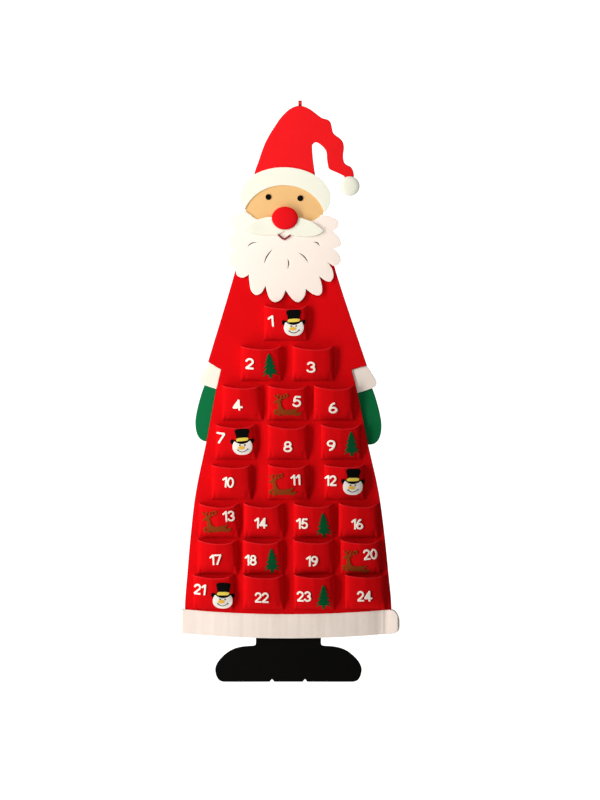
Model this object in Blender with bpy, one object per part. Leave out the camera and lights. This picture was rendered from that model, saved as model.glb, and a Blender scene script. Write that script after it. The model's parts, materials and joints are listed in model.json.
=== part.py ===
"""Felt Santa advent calendar: a wall hanging with 24 pockets. Metres, +Z up, its front towards -Y.

The origin is where a nail bears inside the hanging loop. The backing (hat, face and robe) is cut from
thick felt and joined edge to edge. Trims lie one layer in front of it, the moustache and mouth two
layers, and the cuffs, mittens and boots are sewn behind it. LAYER_GAP parts one layer from the next.
"""

import math

import bmesh
import bpy
from mathutils import Vector
from mathutils.bvhtree import BVHTree
from mathutils.geometry import delaunay_2d_cdt

# Felt and ribbon
LAYER_GAP = 0.0003
BACKING_FELT = 0.0025
TRIM_FELT = 0.0020
POCKET_FELT = 0.0018
ORNAMENT_FELT = 0.0016
SEAM_GAP = 0.0003

# Hanging loop
RIBBON_WIDTH = 0.0066
RIBBON_THICKNESS = 0.0009
RIBBON_TAIL = 0.0140
LOOP_HEIGHT = 0.0094
LOOP_RADIUS_SHARE = 0.34
LOOP_NECK_SHARE = 0.09
LOOP_MOUTH_DEG = 30
LOOP_SEGMENTS = 10

# Hat, between its brim line and its top
HAT_WIDTH = 0.1151
HAT_HEIGHT = 0.1302
HAT_APEX_SHARE = 0.2475
HAT_STEPS = 2
HAT_BOTTOM_STEPS = 16
HAT_LEFT_SHARES = (
    (-0.500, 0.000),
    (-0.330, 0.442),
    (-0.152, 0.717),
    (-0.031, 0.862),
    (0.105, 0.964),
    (HAT_APEX_SHARE, 1.000),
    (0.390, 0.958),
    (0.485, 0.899),
    (0.608, 0.820),
    (0.690, 0.801),
    (0.744, 0.754),
    (0.764, 0.683),
    (0.792, 0.599),
    (0.880, 0.538),
    (0.941, 0.478),
    (0.961, 0.394),
    (0.948, 0.286),
    (0.961, 0.190),
    (1.002, 0.148),
    (1.070, 0.117),
    (1.111, 0.057),
    (1.125, -0.009),
)
HAT_TAIL_END_SHARES = (
    (1.100, -0.080),
    (0.990, -0.084),
    (0.961, -0.014),
)
HAT_SLOT_SHARES = (
    (0.852, 0.033),
    (0.731, 0.081),
    (0.703, 0.129),
    (0.684, 0.238),
    (0.675, 0.333),
    (0.621, 0.406),
    (0.554, 0.454),
    (0.500, 0.471),
    (0.452, 0.442),
    (0.444, 0.394),
    (0.459, 0.213),
    (0.492, -0.003),
)

# Pom-pom at the end of the tail
POMPOM_RADIUS = 0.0184
POMPOM_THICKNESS = 0.0060
POMPOM_SIDE_SHARE = 1.0558
POMPOM_DROP = 0.0206
POMPOM_SEGMENTS = 24

# Face, wider than the hat by FACE_FLARE on each side, its top tucked up behind the brim
FACE_FLARE = 0.0174
FACE_HEIGHT = 0.1019
FACE_TUCK = 0.0062
FACE_SEGMENTS = 48

# Brim, an arch between an outer and an inner ellipse
BRIM_OVERHANG = 0.0100
BRIM_RISE = 0.0147
BRIM_OUTER_HEIGHT = 0.0559
BRIM_BAND = 0.0336
BRIM_INNER_HEIGHT = 0.0676
BRIM_INNER_SPREAD = 0.0025
BRIM_SEGMENTS = 32
BRIM_TIP_STEPS = 40

# Eyes, nose, moustache and mouth. The moustache is wider than the hat by MOUSTACHE_FLARE on each side
HEAD_TILT_DEG = 2.2
EYE_RADIUS = 0.0055
EYE_THICKNESS = 0.0022
EYE_SPREAD = 0.0598
EYE_MIDDLE = -0.0025
EYE_LEVEL = 0.0148
EYE_SEGMENTS = 16
NOSE_WIDTH = 0.0494
NOSE_HEIGHT = 0.0430
NOSE_THICKNESS = 0.0060
NOSE_DROP = 0.0232
NOSE_SEGMENTS = 32
MOUSTACHE_FLARE = 0.01695
MOUSTACHE_HEIGHT = 0.0350
MOUSTACHE_DROP = 0.0334
MOUSTACHE_STEPS = 2
MOUSTACHE_TOP_SHARES = (
    (0.000, 0.780),
    (0.340, 0.980),
    (0.480, 0.950),
    (0.680, 0.810),
    (0.850, 0.580),
    (1.000, 0.350),
)
MOUSTACHE_LOWER_SHARES = (
    (0.870, 0.150),
    (0.710, 0.030),
    (0.480, 0.000),
    (0.190, 0.050),
    (0.000, 0.260),
)
MOUTH_WIDTH = 0.0200
MOUTH_DEPTH = 0.0078
MOUTH_CORD = 0.0028
MOUTH_DROP = 0.0322
MOUTH_SIDES = 2
MOUTH_SHARES = ((-0.5, 0.0), (-0.1, -0.88), (0.0, -1.0), (0.1, -0.88), (0.5, 0.0))

# Beard, wider than the face by BEARD_SPREAD on each side
BEARD_SPREAD = 0.0298
BEARD_HEIGHT = 0.1713
BEARD_TOP_DROP = 0.0104
BEARD_STEPS = 2
BEARD_TOP_SHARES = ((-0.301, 0.954), (-0.237, 0.904), (0.003, 0.835), (0.245, 0.892), (0.323, 0.958))
BEARD_LOBE_SHARES = (
    ((0.364, 0.952), (0.403, 0.941), (0.459, 0.911), (0.480, 0.867), (0.465, 0.815), (0.426, 0.776)),
    ((0.471, 0.730), (0.498, 0.664), (0.492, 0.612), (0.433, 0.586)),
    ((0.474, 0.543), (0.500, 0.474), (0.480, 0.414), (0.435, 0.399), (0.381, 0.443)),
    ((0.422, 0.367), (0.435, 0.284), (0.408, 0.227), (0.359, 0.240), (0.309, 0.285)),
    ((0.330, 0.196), (0.332, 0.113), (0.302, 0.075), (0.241, 0.098), (0.188, 0.148)),
    ((0.177, 0.069), (0.124, 0.000), (0.066, 0.036), (0.007, 0.133)),
    ((-0.026, 0.042), (-0.089, 0.000), (-0.141, 0.053), (-0.174, 0.182)),
    ((-0.205, 0.110), (-0.259, 0.081), (-0.306, 0.141), (-0.323, 0.305)),
    ((-0.350, 0.281), (-0.386, 0.270), (-0.428, 0.297), (-0.445, 0.378)),
    ((-0.479, 0.394), (-0.500, 0.460), (-0.490, 0.532), (-0.441, 0.576)),
    ((-0.490, 0.604), (-0.500, 0.675), (-0.481, 0.736), (-0.433, 0.771)),
    ((-0.473, 0.818), (-0.480, 0.899), (-0.459, 0.943), (-0.403, 0.980), (-0.364, 1.000), (-0.326, 0.976)),
)
SLIT_WIDTH = 0.0022
SLIT_STEPS = 5
SLIT_SHARES = (
    ((-0.336, 0.600), (-0.247, 0.655), 0.16),
    ((-0.186, 0.418), (-0.109, 0.580), 0.08),
    ((0.022, 0.481), (0.022, 0.363), 0.14),
    ((0.120, 0.546), (0.213, 0.423), 0.10),
    ((0.249, 0.660), (0.314, 0.612), 0.20),
)

# Pockets, in rows from the top: the gaps between the row's pockets as shares of POCKET_GAP, the gap
# below the row as a share of ROW_GAP, the pockets' width as a share of POCKET_WIDTH, and how far the
# row's middle is right of the robe's as a share of POCKET_GAP
POCKET_WIDTH = 0.0750
POCKET_HEIGHT = 0.0648
POCKET_DEPTH = 0.0170
POCKET_SEAM = 0.0035
RIM_SAG = 0.0068
POCKET_GAP = 0.0188
ROW_GAP = 0.0075
BEARD_CLEARANCE = 0.00655
HEM_CLEARANCE = 0.0008
POCKET_ROW_SHARES = (
    ((), 1.51, 1.08, 0.00),
    ((1.05,), 1.31, 1.03, 0.10),
    ((0.55, 0.60), 1.19, 1.00, 0.16),
    ((1.20, 1.35), 1.47, 1.00, 0.16),
    ((1.65, 1.65), 1.07, 1.00, 0.10),
    ((0.50, 1.00, 0.50), 0.53, 1.00, 0.13),
    ((0.55, 1.05, 0.75), 0.20, 1.00, 0.14),
    ((1.05, 1.10, 1.10), 0.00, 1.00, 0.12),
)
BULGE_ACROSS_SHARES = (-1.0, -0.9, -0.75, -0.45, 0.0, 0.45, 0.75, 0.9, 1.0)
BULGE_UP_SHARES = (0.0, 0.08, 0.2, 0.4, 0.7, 1.0)
BULGE_SIDE_POWER = 4
BULGE_BASE_POWER = 2.6
BULGE_BASE_ROUNDING = 0.75

# Ornaments on the pockets: kind, pocket, its centre as shares of the pocket's half width and height
# from the pocket's middle, and its tilt in degrees
ORNAMENT_GAP = 0.0004
ORNAMENT_GRID = 0.0080
ORNAMENT_FLAT_SHARES = (0.72, 0.26)
ORNAMENT_TABLE_SHARES = (
    ("snowman", 1, 0.37, 0.02, 1),
    ("tree", 2, 0.41, -0.05, 0),
    ("reindeer", 5, -0.04, -0.04, 0),
    ("snowman", 7, 0.34, 0.02, 2),
    ("tree", 9, 0.47, -0.04, 5),
    ("reindeer", 11, -0.32, -0.05, 2),
    ("snowman", 12, 0.42, 0.02, -2),
    ("reindeer", 13, -0.155, 0.00, 4),
    ("tree", 15, 0.47, -0.115, 3),
    ("tree", 18, 0.43, -0.09, 2),
    ("reindeer", 20, -0.22, -0.12, -4),
    ("snowman", 21, 0.495, -0.10, -3),
    ("tree", 23, 0.46, -0.13, 0),
)
SNOWMAN_WIDTH = 0.0434
SNOWMAN_HEIGHT = 0.0485
SNOWMAN_FACE_SEGMENTS = 20
SNOWMAN_FACE_WIDTH = 0.0380
SNOWMAN_FACE_HEIGHT = 0.0290
SNOWMAN_HAT_SHARES = (
    (-0.45, 0.49),
    (-0.50, 0.56),
    (-0.47, 0.62),
    (-0.30, 0.59),
    (-0.34, 0.97),
    (-0.18, 1.00),
    (0.18, 1.00),
    (0.33, 0.97),
    (0.29, 0.59),
    (0.47, 0.62),
    (0.50, 0.56),
    (0.45, 0.49),
)
TREE_WIDTH = 0.0285
TREE_HEIGHT = 0.0462
TREE_SHARES = (
    (0.00, 1.00),
    (0.13, 0.88),
    (0.32, 0.76),
    (0.24, 0.75),
    (0.48, 0.58),
    (0.36, 0.57),
    (0.62, 0.42),
    (0.50, 0.41),
    (0.82, 0.26),
    (0.66, 0.25),
    (1.00, 0.09),
    (0.60, 0.13),
    (0.15, 0.17),
    (0.12, 0.00),
)
REINDEER_WIDTH = 0.0560
REINDEER_HEIGHT = 0.0446
REINDEER_SHARES = (
    (0.05, 0.66),
    (0.12, 0.78),
    (0.04, 0.89),
    (0.08, 0.91),
    (0.16, 0.84),
    (0.17, 0.94),
    (0.21, 0.93),
    (0.22, 0.82),
    (0.26, 0.91),
    (0.30, 0.89),
    (0.33, 0.84),
    (0.37, 0.96),
    (0.41, 0.95),
    (0.40, 0.87),
    (0.46, 1.00),
    (0.49, 0.98),
    (0.47, 0.86),
    (0.53, 0.84),
    (0.52, 0.79),
    (0.38, 0.77),
    (0.28, 0.70),
    (0.31, 0.62),
    (0.31, 0.47),
    (0.37, 0.33),
    (0.47, 0.24),
    (0.58, 0.29),
    (0.72, 0.32),
    (0.82, 0.30),
    (0.88, 0.37),
    (0.90, 0.33),
    (0.86, 0.22),
    (0.93, 0.17),
    (1.00, 0.14),
    (0.96, 0.09),
    (0.74, 0.05),
    (0.59, 0.08),
    (0.46, 0.08),
    (0.35, 0.09),
    (0.25, 0.03),
    (0.15, 0.00),
    (0.03, 0.13),
    (0.08, 0.18),
    (0.19, 0.08),
    (0.25, 0.13),
    (0.14, 0.18),
    (0.00, 0.26),
    (0.03, 0.33),
    (0.15, 0.26),
    (0.17, 0.36),
    (0.18, 0.48),
    (0.16, 0.60),
    (0.10, 0.62),
)

# Robe, set under the face and as wide as the widest pocket row and its margins
ROBE_MARGIN = 0.0135
HEAD_OFFSET = 0.0066
ROBE_GRID = 0.0500
ROBE_LEAN_DEG = 0.45
ROBE_SIDE_SHARES = (
    (0.388, 1.000),
    (0.506, 0.888),
    (0.756, 0.682),
    (0.631, 0.663),
    (0.681, 0.612),
    (0.773, 0.493),
    (0.885, 0.360),
    (0.938, 0.256),
    (0.977, 0.152),
    (1.000, 0.083),
)
SLEEVE_CORNER_INDEX = 2
# The right sleeve's corner reaches further out and hangs lower than the left one's
RIGHT_SLEEVE_REACH = 0.0047
RIGHT_SLEEVE_DROP = 0.0068

# Cuffs and mittens, drawn for the right side from the sleeve's outer corner
CUFF_WIDTH = 0.0538
CUFF_HEIGHT = 0.0660
CUFF_CORNER_SHARES = (0.660, 0.949)
CUFF_SHARES = ((0.00, 0.77), (0.54, 1.00), (1.00, 0.39), (0.98, 0.26), (0.86, 0.19), (0.14, 0.00))
MITTEN_WIDTH = 0.0623
MITTEN_HEIGHT = 0.1227
MITTEN_CORNER_SHARES = (0.552, 1.280)
MITTEN_STEPS = 2
LEFT_ARM_RISE = 0.0060
MITTEN_SHARES = (
    (0.06, 0.97),
    (0.60, 1.00),
    (0.72, 0.88),
    (0.89, 0.61),
    (1.00, 0.33),
    (0.96, 0.13),
    (0.83, 0.03),
    (0.63, 0.00),
    (0.30, 0.03),
    (0.12, 0.20),
    (0.00, 0.69),
)

# Hem band, wrapped round the robe's side edges
HEM_HEIGHT = 0.0457
HEM_SAG = 0.0092
HEM_OVERHANG = 0.0010
HEM_FLAP = 0.0180
HEM_STEPS = 3
HEM_SPANS = 10
HEM_LEFT_REACH = 0.0080
HEM_RIGHT_REACH = 0.0125
HEM_FOLD_RADIUS = 0.0042
HEM_FOLD_SHARES = ((0.0, 1.0), (0.7, 0.7), (1.0, 0.0), (0.7, -0.7), (0.0, -1.0))

# Boots, one piece, tucked up behind the robe
BOOTS_WIDTH = 0.2755
BOOTS_HEIGHT = 0.0830
BOOTS_TUCK = 0.0120
BOOTS_STEPS = 2
BOOTS_NECK_SHARES = (0.445, 0.870)
BOOTS_SHARES = (
    (0.455, 0.840),
    (0.490, 0.825),
    (0.600, 0.812),
    (0.712, 0.775),
    (0.810, 0.700),
    (0.897, 0.584),
    (0.965, 0.450),
    (1.000, 0.300),
    (0.985, 0.140),
    (0.945, 0.035),
    (0.885, 0.000),
)
BOOTS_NOTCH_SHARES = ((0.258, 0.000), (0.225, 0.064), (0.192, 0.000), (0.000, 0.000))

# Profile of a stuffed pad from its rim to its middle: radius and height
PAD_SHARES = ((1.0, 0.0), (1.0, 0.5), (0.94, 0.78), (0.8, 0.93), (0.45, 1.0))

# Layers from the front to the back, by the side that faces the backing
BACKING_FRONT = -BACKING_FELT / 2
BACKING_BACK = BACKING_FELT / 2
TRIM_BACK = BACKING_FRONT - LAYER_GAP
TRIM_FRONT = TRIM_BACK - TRIM_FELT
OVER_BACK = TRIM_FRONT - LAYER_GAP
OVER_FRONT = OVER_BACK - TRIM_FELT
BEHIND_FRONT = BACKING_BACK + LAYER_GAP
BEHIND_BACK = BEHIND_FRONT + TRIM_FELT
REAR_BACK = BEHIND_BACK + LAYER_GAP + TRIM_FELT

# Heights of the head, worked down from the loop
HAT_TOP_Z = RIBBON_THICKNESS - LOOP_HEIGHT
BRIM_LINE_Z = HAT_TOP_Z - HAT_HEIGHT
FACE_WIDTH = HAT_WIDTH + 2 * FACE_FLARE
MOUSTACHE_WIDTH = HAT_WIDTH + 2 * MOUSTACHE_FLARE
FACE_Z = BRIM_LINE_Z - FACE_TUCK - FACE_HEIGHT / 2
FACE_BOTTOM_Z = FACE_Z - FACE_HEIGHT / 2
NOSE_Z = FACE_Z - NOSE_DROP
BEARD_WIDTH = FACE_WIDTH + 2 * BEARD_SPREAD
BEARD_BOTTOM_Z = FACE_Z - BEARD_TOP_DROP - BEARD_HEIGHT

# Heights of the body, worked down from the beard
POCKETS_TOP_Z = BEARD_BOTTOM_Z - BEARD_CLEARANCE
ROW_GAPS = sum(row[1] for row in POCKET_ROW_SHARES) * ROW_GAP
POCKETS_BOTTOM_Z = POCKETS_TOP_Z - len(POCKET_ROW_SHARES) * POCKET_HEIGHT - ROW_GAPS
HEM_BOTTOM_Z = POCKETS_BOTTOM_Z - HEM_CLEARANCE - HEM_SAG - HEM_HEIGHT
BOOTS_AXIS_Z = HEM_BOTTOM_Z - TRIM_FELT / 2 - LAYER_GAP
ROBE_TOP_Z = FACE_BOTTOM_Z - SEAM_GAP
ROBE_BOTTOM_Z = HEM_BOTTOM_Z + HEM_OVERHANG
ROBE_HEIGHT = ROBE_TOP_Z - ROBE_BOTTOM_Z

# Middles across, and the robe's width
HEAD_X = -HAT_APEX_SHARE * HAT_WIDTH
ROBE_X = HEAD_X + HEAD_OFFSET


def row_width(row):
    """Width of a pocket row, from the first pocket's left seam to the last one's right seam."""
    gaps, _, width_share, _ = row
    return (len(gaps) + 1) * width_share * POCKET_WIDTH + sum(gaps) * POCKET_GAP


ROBE_HALF = max(row_width(row) for row in POCKET_ROW_SHARES) / 2 + ROBE_MARGIN
ROBE_LEAN = math.tan(math.radians(ROBE_LEAN_DEG))

# How meshes are made
MERGE_DISTANCE = 1e-7
SHARP_DEG = 50
SLOPE_STEP_SHARE = 0.02
SAMPLE_ORDER = 4
TRIANGLE_SAMPLES = [
    (a / SAMPLE_ORDER, b / SAMPLE_ORDER, 1 - (a + b) / SAMPLE_ORDER)
    for a in range(SAMPLE_ORDER + 1)
    for b in range(SAMPLE_ORDER + 1 - a)
]


def linear(channel):
    """An sRGB channel, 0 to 255, as a linear value."""
    share = channel / 255
    return share / 12.92 if share <= 0.04045 else ((share + 0.055) / 1.055) ** 2.4


def felt(name, red, green, blue, roughness=0.95):
    """A plain material of the felt's colour."""
    material = bpy.data.materials.new(name)
    material.use_nodes = True
    shader = material.node_tree.nodes["Principled BSDF"]
    shader.inputs["Base Color"].default_value = (linear(red), linear(green), linear(blue), 1)
    shader.inputs["Roughness"].default_value = roughness
    shader.inputs["Metallic"].default_value = 0
    return material


def placed(obj, parent, place, material):
    """Hang an object under its pivot, at a place given in the part's own frame."""
    bpy.context.scene.collection.objects.link(obj)
    obj.data.materials.append(material)
    obj.parent = parent
    obj.location = Vector(place) - parent.location
    return obj


def pivot(name, place):
    empty = bpy.data.objects.new(name, None)
    bpy.context.scene.collection.objects.link(empty)
    empty.location = place
    return empty


def mesh_object(name, points, faces):
    """A mesh object whose faces all point out."""
    mesh = bpy.data.meshes.new(name)
    mesh.from_pydata([tuple(point) for point in points], [], faces)
    work = bmesh.new()
    work.from_mesh(mesh)
    bmesh.ops.recalc_face_normals(work, faces=work.faces)
    work.to_mesh(mesh)
    work.free()
    return bpy.data.objects.new(name, mesh)


def curve_through(points, steps):
    """A Catmull-Rom curve through points, with steps pieces between each two of them."""
    ends = [points[0], *points, points[-1]]
    found = [points[0]]
    for before, start, end, after in zip(ends, ends[1:], ends[2:], ends[3:]):
        for step in range(1, steps + 1):
            t = step / steps
            weights = (
                (-t + 2 * t**2 - t**3) / 2,
                (2 - 5 * t**2 + 3 * t**3) / 2,
                (t + 4 * t**2 - 3 * t**3) / 2,
                (t**3 - t**2) / 2,
            )
            sides = zip(before, start, end, after)
            found.append(tuple(sum(w * c for w, c in zip(weights, side)) for side in sides))
    return found


def from_shares(shares, width, height, x=0.0, z=0.0):
    return [(x + across * width, z + up * height) for across, up in shares]


def mirrored(half):
    """A closed outline from its right half, which runs from the middle to the middle."""
    other = [(-x, z) for x, z in reversed(half)]
    return half + [point for point in other if abs(point[0]) > MERGE_DISTANCE]


def flipped(outline, side):
    return [(side * x, z) for x, z in outline]


def turned(outline, degrees):
    """An outline turned clockwise, as seen from the front, about its own origin."""
    angle = -math.radians(degrees)
    cosine, sine = math.cos(angle), math.sin(angle)
    return [(x * cosine - z * sine, x * sine + z * cosine) for x, z in outline]


def ellipse_point(half_width, half_height, angle):
    return half_width * math.cos(angle), half_height * math.sin(angle)


def inside(point, loop):
    """Whether a point lies inside a closed loop, by counting the edges to its right."""
    x, z = point
    crossings = 0
    for (x0, z0), (x1, z1) in zip(loop, [*loop[1:], loop[0]]):
        if (z0 > z) != (z1 > z) and x < x0 + (z - z0) / (z1 - z0) * (x1 - x0):
            crossings += 1
    return crossings % 2 == 1


def edge_distance(point, loop):
    """Distance from a point to the nearest edge of a closed loop."""
    nearest = math.inf
    for start, end in zip(loop, [*loop[1:], loop[0]]):
        a, along = Vector(start), Vector(end) - Vector(start)
        share = (Vector(point) - a).dot(along) / max(along.length_squared, MERGE_DISTANCE**2)
        foot = a + min(1, max(0, share)) * along
        nearest = min(nearest, (Vector(point) - foot).length)
    return nearest


def grid_points(outline, spacing):
    """Points on a square grid inside an outline, well clear of its edge."""
    low_x, high_x = min(x for x, _ in outline), max(x for x, _ in outline)
    low_z, high_z = min(z for _, z in outline), max(z for _, z in outline)
    columns = max(1, round((high_x - low_x) / spacing))
    rows = max(1, round((high_z - low_z) / spacing))
    found = []
    for row in range(1, rows):
        for column in range(1, columns):
            x = low_x + (high_x - low_x) * column / columns
            z = low_z + (high_z - low_z) * row / rows
            if inside((x, z), outline) and edge_distance((x, z), outline) > spacing / 3:
                found.append((x, z))
    return found


def triangles_of(outline, holes, spacing):
    """Triangles that fill an outline around its holes, with grid points where spacing is given."""
    points, edges = [], []
    for loop in (outline, *holes):
        first = len(points)
        count = len(loop)
        points += loop
        edges += [(first + i, first + (i + 1) % count) for i in range(count)]
    if spacing:
        points += grid_points(outline, spacing)
    flat = [Vector(point) for point in points]
    corners, _, faces, *_ = delaunay_2d_cdt(flat, edges, [], 0, MERGE_DISTANCE)
    kept = []
    for face in faces:
        middle = sum((corners[i] for i in face), Vector((0, 0))) / len(face)
        if inside(middle, outline) and not any(inside(middle, hole) for hole in holes):
            kept.append(tuple(face))
    return corners, kept


def felt_sheet(name, outline, back, thickness, holes=(), spacing=0.0):
    """A sheet cut to an outline in X and Z. back is its back face: a place in Y, or a function of
    X and Z where the sheet is bent over what carries it."""
    corners, faces = triangles_of(outline, holes, spacing)
    height = back if callable(back) else lambda x, z: back
    behind = [(x, height(x, z), z) for x, z in corners]
    front = [(x, y - thickness, z) for x, y, z in behind]
    count = len(corners)
    used = {}
    for face in faces:
        for start, end in zip(face, (*face[1:], face[0])):
            used[start, end] = True
    walls = []
    for start, end in used:
        if (end, start) not in used:
            walls.append((end, start, start + count, end + count))
    far = [tuple(i + count for i in reversed(face)) for face in faces]
    return mesh_object(name, front + behind, faces + far + walls)


def pad(name, half_width, half_height, thickness, segments):
    """A stuffed oval pad on a flat back, its back at the origin and its crown towards -Y."""
    points, faces = [], []
    angles = [2 * math.pi * i / segments for i in range(segments)]
    for radius, height in PAD_SHARES:
        for angle in angles:
            x, z = ellipse_point(radius * half_width, radius * half_height, angle)
            points.append((x, -height * thickness, z))
    for ring in range(len(PAD_SHARES) - 1):
        for i in range(segments):
            a = ring * segments + i
            b = ring * segments + (i + 1) % segments
            faces.append((a, b, b + segments, a + segments))
    last = (len(PAD_SHARES) - 1) * segments
    faces.append(tuple(range(segments)))
    faces.append(tuple(range(last, last + segments)))
    obj = mesh_object(name, points, faces)
    obj.data.shade_smooth()
    obj.data.set_sharp_from_angle(angle=math.radians(SHARP_DEG))
    return obj


def band(name, stations, thickness):
    """A strip of cloth that runs through stations (x, y, low z, high z), its sides square to its run."""
    points, faces = [], []
    for i, (x, y, low, high) in enumerate(stations):
        before, after = stations[max(0, i - 1)], stations[min(len(stations) - 1, i + 1)]
        along = Vector((after[0] - before[0], after[1] - before[1])).normalized()
        side = Vector((along.y, -along.x)) * thickness / 2
        for sign, z in ((1, low), (1, high), (-1, high), (-1, low)):
            points.append((x + sign * side.x, y + sign * side.y, z))
    for i in range(len(stations) - 1):
        for corner in range(4):
            following = (corner + 1) % 4
            faces.append((4 * i + corner, 4 * i + following, 4 * i + 4 + following, 4 * i + 4 + corner))
    faces.append((0, 1, 2, 3))
    last = 4 * len(stations) - 4
    faces.append((last, last + 1, last + 2, last + 3))
    return mesh_object(name, points, faces)


def hanging_loop(parent):
    """Ribbon bent round over the nail, its two ends sewn flat behind the top of the hat."""
    front_y = BEHIND_FRONT + RIBBON_THICKNESS / 2
    back_y = front_y + RIBBON_THICKNESS + LAYER_GAP
    middle_y = (front_y + back_y) / 2
    tail_z = HAT_TOP_Z - RIBBON_TAIL
    neck_z = HAT_TOP_Z + LOOP_NECK_SHARE * LOOP_HEIGHT
    bore = LOOP_RADIUS_SHARE * LOOP_HEIGHT
    radius = bore + RIBBON_THICKNESS / 2
    line = [(front_y, tail_z), (front_y, neck_z)]
    for step in range(LOOP_SEGMENTS + 1):
        share = step / LOOP_SEGMENTS
        angle = math.radians(LOOP_MOUTH_DEG + (360 - 2 * LOOP_MOUTH_DEG) * share)
        line.append((middle_y - radius * math.sin(angle), -bore - radius * math.cos(angle)))
    line += [(back_y, neck_z), (back_y, tail_z)]
    ribbon = band(
        "hanging_loop",
        [(y, z, -RIBBON_WIDTH / 2, RIBBON_WIDTH / 2) for y, z in line],
        RIBBON_THICKNESS,
    )
    # The band runs in its own X and Y, which are the part's Y and Z, and is as wide as its Z.
    for point in ribbon.data.vertices:
        point.co = Vector((point.co.z, point.co.x, point.co.y))
    placed(ribbon, parent, (0, 0, 0), RIBBON_RED)


def hat(parent):
    """Crown and tail, cut below along the top of the face, where the brim covers the joint."""
    crown = from_shares(HAT_LEFT_SHARES, HAT_WIDTH, HAT_HEIGHT)
    tail = from_shares(HAT_TAIL_END_SHARES, HAT_WIDTH, HAT_HEIGHT)
    slot = from_shares((HAT_TAIL_END_SHARES[-1], *HAT_SLOT_SHARES), HAT_WIDTH, HAT_HEIGHT)
    outline = curve_through(crown, HAT_STEPS) + tail + curve_through(slot, HAT_STEPS)[1:]
    half_width = FACE_WIDTH / 2 + SEAM_GAP
    half_height = FACE_HEIGHT / 2 + SEAM_GAP
    right_x, left_x = outline[-1][0], outline[0][0]
    drop = FACE_Z - BRIM_LINE_Z
    for step in range(HAT_BOTTOM_STEPS + 1):
        x = right_x + (left_x - right_x) * step / HAT_BOTTOM_STEPS
        outline.append((x, drop + half_height * math.sqrt(1 - (x / half_width) ** 2)))
    sheet = felt_sheet("hat", outline, BACKING_BACK, BACKING_FELT)
    placed(sheet, parent, (HEAD_X, 0, BRIM_LINE_Z), FELT_RED)


def pompom(parent):
    obj = pad("pompom", POMPOM_RADIUS, POMPOM_RADIUS, POMPOM_THICKNESS, POMPOM_SEGMENTS)
    x = HEAD_X + POMPOM_SIDE_SHARE * HAT_WIDTH
    placed(obj, parent, (x, TRIM_BACK, BRIM_LINE_Z - POMPOM_DROP), FELT_WHITE)


def face(parent):
    half_width, half_height = FACE_WIDTH / 2, FACE_HEIGHT / 2
    angles = [2 * math.pi * i / FACE_SEGMENTS for i in range(FACE_SEGMENTS)]
    outline = [ellipse_point(half_width, half_height, angle) for angle in angles]
    sheet = felt_sheet("face", outline, BACKING_BACK, BACKING_FELT)
    placed(sheet, parent, (HEAD_X, 0, FACE_Z), FELT_TAN)


def brim(parent):
    """The arch between two ellipses, down to where they meet at its tips."""
    top = BRIM_LINE_Z + BRIM_RISE - FACE_Z
    outer = (FACE_WIDTH / 2 + BRIM_OVERHANG, BRIM_OUTER_HEIGHT)
    inner = (FACE_WIDTH / 2 + BRIM_INNER_SPREAD, BRIM_INNER_HEIGHT)
    outer_z = top - outer[1]
    inner_z = top - BRIM_BAND - inner[1]

    def side(ellipse, middle, z):
        return ellipse[0] * math.sqrt(max(0, 1 - ((z - middle) / ellipse[1]) ** 2))

    low, high = outer_z - outer[1], outer_z
    for _ in range(BRIM_TIP_STEPS):
        tip = (low + high) / 2
        if side(outer, outer_z, tip) > side(inner, inner_z, tip):
            high = tip
        else:
            low = tip
    outer_angle = math.asin((tip - outer_z) / outer[1])
    inner_angle = math.asin((tip - inner_z) / inner[1])
    arc = []
    for step in range(BRIM_SEGMENTS + 1):
        angle = outer_angle + (math.pi - 2 * outer_angle) * step / BRIM_SEGMENTS
        x, z = ellipse_point(*outer, angle)
        arc.append((x, z + outer_z))
    for step in range(1, BRIM_SEGMENTS):
        angle = math.pi - inner_angle - (math.pi - 2 * inner_angle) * step / BRIM_SEGMENTS
        x, z = ellipse_point(*inner, angle)
        arc.append((x, z + inner_z))
    sheet = felt_sheet("brim", turned(arc, HEAD_TILT_DEG), TRIM_BACK, TRIM_FELT)
    placed(sheet, parent, (HEAD_X, 0, FACE_Z), FELT_WHITE)


def head_place(x, z, y):
    """A place on the tilted head, given from the nose."""
    (turned_x, turned_z), = turned([(x, z)], HEAD_TILT_DEG)
    return HEAD_X + turned_x, y, NOSE_Z + turned_z


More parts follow.
